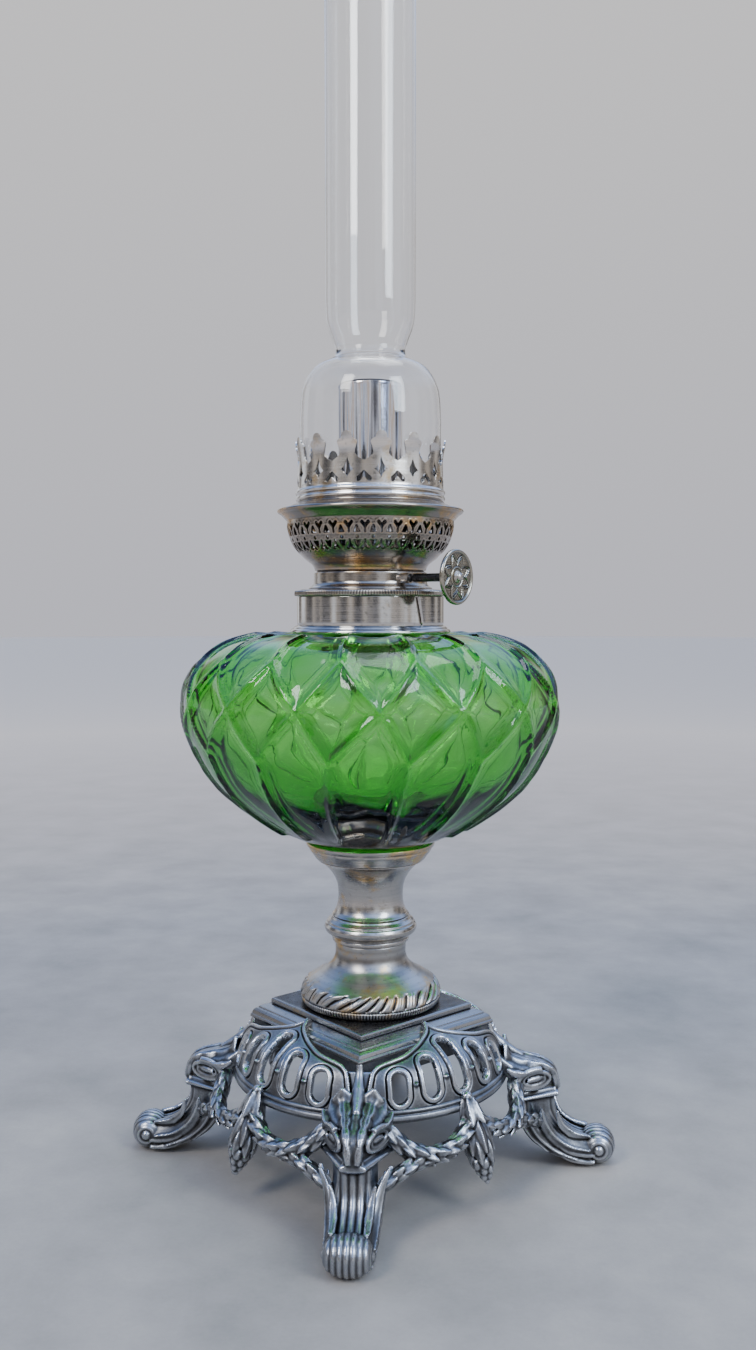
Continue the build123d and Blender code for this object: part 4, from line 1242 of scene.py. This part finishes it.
def foot_scroll():
    """Curled foot: a reeded barrel with a recessed end and a boss in the middle of it."""
    side = np.linspace(0, FOOT_HALF, 64)
    barrel = FOOT_RADIUS * np.sqrt(1 - 0.76 * (side / (FOOT_HALF + 0.5)) ** 2)
    outer = np.stack([barrel + reeds(side, FOOT_REED_DEPTH, FOOT_REEDS) - 0.65, side], 1)
    rim = outer[-1, 0]
    end = fillet([(rim, 0), (3.2, 0.5), (2.5, 0.2), (1.9, -0.1), (1.6, 0.6), (0.9, 1.1), (0, 1.2)], 0.3)
    end += [0, FOOT_HALF]
    half = np.vstack([outer, finely(end, 0.35)[1:]])
    line = np.vstack([(half * [1, -1])[::-1], half[1:]])
    turn = np.linspace(0, tau, 80, endpoint=False)
    rings = []
    for radius, across in line:
        radius = max(radius, 0.02)
        height = np.maximum(FOOT_CENTRE[1] + radius * np.sin(turn), 0.05)
        rings.append(leg_point(FOOT_CENTRE[0] + radius * np.cos(turn), across, height))
    return [loft(rings)]


def volute():
    """Oval spiral on one side of the block, with a long boss at its centre."""
    turn = np.linspace(radians(70), radians(70) + 1.9 * tau, 110)
    shrink = 1 - 0.5 * (turn - turn[0]) / (turn[-1] - turn[0])
    out = VOLUTE_CENTRE[0] + VOLUTE_REACH[0] * shrink * np.cos(turn)
    height = VOLUTE_CENTRE[1] + VOLUTE_REACH[1] * shrink * np.sin(turn)
    path = leg_point(out, prow(out) + 0.1, height)
    spiral = rod(path[::2], [1.15, 1.0, 0.85, 0.7], 12)
    steps = ((59.3, 0.6, 33.3), (62.5, 0.4, 33.5), (65.7, 0.6, 33.7))
    boss = leaf([leg_point(out, prow(out) - sunk, height) for out, sunk, height in steps],
                (1, -0.55, 0), 1.5, 2.4, vein=0, outline=BLUNT)
    return [spiral, boss]


def over_block(low_side, high_side, high_end):
    """Line from the cap up over the block, spreading towards the plinth."""
    out, height = np.array([*LEAF_LINE, high_end]).T
    side = low_side + (high_side - low_side) * np.linspace(0, 1, len(out)) ** 1.3
    return leg_point(out, side, height)


def acanthus():
    """Leaf that lies over the block and parts into two lobed tips, with a small leaf on each side
    and a horn between them."""
    lobe = leaf(over_block(1.5, 5.6, (51.2, 46.0)), (0.15, -0.7, 0.7), 2.9, 2.3, lobes=5, cup=0.12, vein=0.6,
                along_count=48, across_count=21, outline=SPREADING, veins=(-0.6, -0.1, 0.42))
    stalk = rod(over_block(0.3, 0.7, (50.2, 43.2)), [0.8, 1.0, 1.1, 1.0, 0.8], 12)
    ear = leaf(leg_line((59.6, 9.6, 36.4), (56.8, 10.8, 36.8), (54.0, 11.5, 37.5), (51.6, 11.9, 38.9)),
               (0.6, -0.35, 0.6), 1.7, 1.7, cup=0.25, along_count=26, across_count=13)
    horn = rod(leg_line((45.0, 0, 52.4), (46.0, 0, 48.6), (48.6, 0, 45.4), (53.0, 0, 42.2), (58, 0, 39.8)),
               [1.1, 1.8, 2.3, 2.0, 1.2], 14)
    return [horn, *mirrored([lobe, stalk, ear])]


def shank_leaves():
    """Long leaves that climb the shank from the foot and turn out under the cap, over two rods
    beside the foot."""
    sprays = [([(83.0, 7.0, 6.6), (75.6, 7.4, 8.2), (69.6, 8.1, 12.4), (66.0, 9.3, 18.4), (64.6, 11.4, 24.4)],
               (1, -0.35, 0.25), 2.9, 2.3),
              ([(78.5, 7.2, 3.4), (70.6, 7.6, 6.6), (64.4, 8.4, 11.6), (61.0, 9.8, 17.4), (59.4, 12.0, 23.2)],
               (1, 0.1, 0.1), 2.6, 2.3),
              ([(83.5, 5.4, 11.2), (77.6, 5.9, 12.4), (73.4, 6.4, 15.2), (71.5, 6.9, 18.8),
                (70.9, 7.6, 22.0)], (0.6, -0.8, 0.3), 1.9, 2.0),
              ([(68.0, 8.0, 6.6), (62.6, 8.6, 11.2), (59.2, 9.2, 15.4), (57.4, 9.8, 20.4)],
               (1, 0.5, 0), 1.9, 1.8)]
    parts = [leaf(leg_line(*line), *form, cup=0.22, vein=0.7, along_count=26, across_count=11)
             for line, *form in sprays]
    for side, low in ((7.5, 2.2), (7.7, 4.9)):
        parts.append(rod(leg_line((69.6, side + 0.6, low + 5.4), (75, side + 0.2, low + 1.6),
                                  (80.5, side - 0.1, low + 0.3), (85.0, side - 0.3, low)),
                         [0.6, 0.95, 1.0, 0.7]))
    return mirrored(parts)


def make_legs():
    """One leg's skin, placed four times."""
    parts = leg_block() + shank() + foot_scroll() + mirrored(volute()) + acanthus() + shank_leaves()
    mesh = fused("leg_cast", parts, 0.34, 2)
    store_cavity(mesh, 14, 0.25)
    for name, angle in LEG_ANGLES.items():
        piece("leg_cast_" + name, mesh, *CAST, ["leg_" + name], turn=angle)


# ---------------------------------------------------------------- garlands
# Places on a face: distance from the lamp's axis, degrees from the face's middle, height.
SWAG_LINE = [(55.0, 35.8, 34.4), (57.0, 30.6, 29.4), (58.8, 24.0, 26.0), (58.7, 17.0, 24.8),
             (57.6, 9.5, 26.4), (55.6, 3.0, 30.2)]
BRACKET_LINE = [(64.4, 37.5, 17.6), (63.0, 33.0, 20.4), (60.9, 27.0, 22.6), (59.4, 20.5, 23.6)]
RING_SPACING = 3.5
LEAF_WIDTH = 1.8
TASSEL_TOP = (52.4, 0, 38.6)
TASSEL_TIP = (62.8, 0, 11.2)


def face_point(radius, degrees_off, height):
    """Place on the front face, from its middle."""
    return polar(radius, radians(degrees_off), height)


def leafy_rope(places, leaf_length, spread, per_ring):
    """Rope of overlapping laurel leaves along a line, its radius given by spread."""
    line = smooth_line([face_point(*place) for place in places], 10)
    total = np.linalg.norm(np.diff(line, axis=0), axis=1).sum()
    stations = evenly(line, int(total / RING_SPACING) + 1)
    facing = polar(1.0, np.arctan2(stations[:, 0], -stations[:, 1]), 0.0)
    along, across, out = frames(stations, facing)
    parts = [rod(line[::3], [spread * 0.8] * 2, 10)]
    for k, spot in enumerate(stations[:-1]):
        for m in range(per_ring):
            turn = tau * (m + 0.5 * (k % 2)) / per_ring
            side = across[k] * sin(turn) + out[k] * cos(turn)
            root = spot + side * spread * 0.55
            mid = spot + along[k] * leaf_length * 0.5 + side * spread * 1.08
            tip = spot + along[k] * leaf_length + side * spread * 1.14
            parts.append(leaf([root, mid, tip], side, LEAF_WIDTH, 1.25, cup=0.3, vein=0.45, along_count=11))
    return parts


# Rings of the tassel's petals: how many, turned by, their root, middle and tip as shares of its
# length with the distance from its middle line, and half their width.
PETALS = [(6, 0.26, (0.03, 1.5), (0.17, 3.2), (0.34, 4.9), 2.5),
          (6, 0.79, (0.24, 2.0), (0.44, 3.9), (0.66, 4.9), 2.3),
          (6, 0.26, (0.44, 2.3), (0.60, 4.2), (0.78, 4.1), 2.3)]
# Rings of its buds: where along it, distance from its middle line, how many and their radius.
BUDS = [(0.76, 2.7, 6, 1.7), (0.84, 2.1, 6, 1.4), (0.91, 1.3, 4, 1.25), (0.97, 0.4, 2, 1.05)]


def tassel():
    """Husk drop: a knob, three rings of petals and a cone of buds."""
    top, tip = face_point(*TASSEL_TOP), face_point(*TASSEL_TIP)
    axis, length = unit(tip - top), np.linalg.norm(tip - top)
    side = np.array([1.0, 0, 0])
    out = np.cross(axis, side)

    def away(turn):
        """Direction out from the tassel's middle line."""
        return side * sin(turn) + out * cos(turn)

    def at(share, reach, turn):
        """Place at a share of its length, reach away from its middle line."""
        return top + axis * length * share + away(turn) * reach

    parts = [bud(top, axis, 3.6, 2.1), rod([top, at(0.5, 0, 0), at(0.95, 0, 0)], [1.7, 2.7, 3.0, 2.6, 1.2])]
    for count, phase, root, middle, end, width in PETALS:
        for k in range(count):
            turn = phase + tau * k / count
            line = [at(*place, turn) for place in (root, middle, end)]
            parts.append(leaf(line, away(turn), width, 1.6, cup=0.35, along_count=14))
    for share, reach, count, size in BUDS:
        for k in range(count):
            parts.append(bud(at(share, reach, tau * k / count + share * 9), axis, size * 2.7, size))
    return parts


def make_garlands():
    """One face's skin, placed four times."""
    one_side = leafy_rope(SWAG_LINE, 7.0, 2.35, 5) + leafy_rope(BRACKET_LINE, 6.4, 1.9, 4)
    mesh = fused("garland_cast", mirrored(one_side) + tassel(), 0.3, 1)
    store_cavity(mesh, 14, 0.24)
    for name, angle in FACE_ANGLES.items():
        piece("garland_cast_" + name, mesh, *CAST, ["garland_" + name], turn=angle)


# ---------------------------------------------------------------- stage, light and camera
# The camera, found from the photo's perspective, and lens and sensor as Blender takes them.
CAMERA_DISTANCE = 450.0
CAMERA_HEIGHT = 209.5
CAMERA_AZIMUTH = 4.8
CAMERA_PITCH = 3.13
CAMERA_YAW = 0.36
LENS = 31.73
SENSOR = 36
LIGHT_AIM = (0, 0, 0.2)
FLOOR = -0.02    # a hair under the feet
# Colours of the wall, level with the floor, higher and at the top.
WALL_LOW = (0.63, 0.63, 0.70)
WALL_MIDDLE = (0.70, 0.695, 0.735)
WALL_HIGH = (0.85, 0.835, 0.835)


def make_floor():
    """Wide round floor just under the lamp."""
    edge = np.array([(0, FLOOR), (600, FLOOR), (2500, FLOOR), (9000, FLOOR)])
    mesh = lathe("floor", finely(edge, 900), 96, closed=False)
    mesh.materials.append(floor_finish())
    floor = bpy.data.objects.new("floor", mesh)
    bpy.context.scene.collection.objects.link(floor)


def soft_light(name, place, size, power, colour):
    """Area light turned towards the middle of the lamp. Places and sizes are in metres."""
    data = bpy.data.lights.new(name, "AREA")
    data.shape = "RECTANGLE"
    data.size, data.size_y = size
    data.energy, data.color = power, colour
    light = bpy.data.objects.new(name, data)
    light.location = place
    light.rotation_mode = "QUATERNION"
    light.rotation_quaternion = (Vector(place) - Vector(LIGHT_AIM)).to_track_quat("Z", "Y")
    bpy.context.scene.collection.objects.link(light)


def make_light():
    """Pale wall seen all round the lamp, banded surroundings and cool sky in its reflections, soft boxes."""
    world = bpy.data.worlds.new("studio")
    bpy.context.scene.world = world
    world.use_nodes = True
    sky = Nodes(world.node_tree)
    direction = sky.add("TexCoord").outputs["Generated"]
    up = sky.add("SeparateXYZ", {"Vector": direction}).outputs["Z"]

    def by_height(*stops):
        """Ramp over the upward part of the direction looked in, from -1 to 1."""
        height = sky.math("MULTIPLY_ADD", up, 0.5, 0.5)
        return sky.ramp(height, *[(0.5 + 0.5 * at, tone) for at, tone in stops])

    def bands(scale, stretch, *stops):
        """Soft bands of light and dark."""
        place = sky.add("Mapping", {"Vector": direction, "Scale": stretch}).outputs["Vector"]
        noise = sky.add("TexNoise", {"Vector": place, "Scale": scale, "Detail": 1.5})
        return sky.ramp(noise.outputs["Fac"], *stops)

    wall = by_height((-1, WALL_LOW), (0.0, WALL_LOW), (0.22, WALL_MIDDLE), (0.6, WALL_HIGH))
    around_lamp = bands(1.9, (1.6, 1.6, 0.35), (0.36, (0.05, 0.05, 0.055)), (0.46, (0.22, 0.21, 0.21)),
                        (0.54, (0.62, 0.56, 0.50)), (0.64, (1.15, 1.22, 1.35)))
    above = bands(1.4, (1, 1, 0.6), (0.38, (0.22, 0.38, 0.86)), (0.62, (0.95, 1.36, 2.35)))
    surroundings = sky.mix(by_height((0.30, 0.0), (0.55, 1.0)), around_lamp, above)
    # The wall is for what is seen past the lamp or through its glass, the rest for light and reflections.
    path = sky.add("LightPath").outputs
    straight = sky.math("MAXIMUM", path["Is Camera Ray"], path["Is Transmission Ray"])
    background = world.node_tree.nodes["Background"]
    sky.feed(background.inputs["Color"], sky.mix(straight, surroundings, wall))
    soft_light("key", (-0.62, -0.80, 0.95), (0.34, 0.60), 9, (1.0, 0.985, 0.96))
    soft_light("window", (0.80, -0.60, 0.80), (0.36, 0.62), 8.5, (0.80, 0.90, 1.0))
    soft_light("top", (0.1, 0.25, 1.5), (0.9, 0.7), 7, (0.93, 0.97, 1.0))


def make_camera():
    """The photo's point of view."""
    a = radians(CAMERA_AZIMUTH)
    data = bpy.data.cameras.new("camera")
    data.sensor_width, data.sensor_fit, data.lens = SENSOR, "AUTO", LENS
    data.clip_start, data.clip_end = 0.01, 30
    camera = bpy.data.objects.new("camera", data)
    camera.location = Vector(polar(CAMERA_DISTANCE, a, CAMERA_HEIGHT)) * MM
    camera.rotation_euler = (radians(90 - CAMERA_PITCH), 0, a - radians(CAMERA_YAW))
    bpy.context.scene.collection.objects.link(camera)
    bpy.context.scene.camera = camera


def dress_hidden_nodes():
    """Better finishes on the CAD nodes that stay."""
    looks = [(fixing_metal, ("tie_rod", "base_washer", "base_nut", "cup_nut", "shaft_bearing", "feed_wheel_1",
                             "feed_wheel_2")),
             (lamp_plaster, ("cup_plaster", "collar_plaster")),
             (burner_flat, ("air_plate", "shaft_gland")),
             (tube_metal, ("inner_air_tube",)),
             (wick_cotton, ("wick",))]
    for material, nodes in looks:
        for node in nodes:
            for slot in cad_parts[node].material_slots:
                slot.material = material


make_floor()
make_light()
make_camera()
make_font()
make_chimney()
make_stem()
make_collar_and_burner()
make_basket()
make_crown()
make_knob()
make_plinth()
make_dome()
make_legs()
make_garlands()
dress_hidden_nodes()
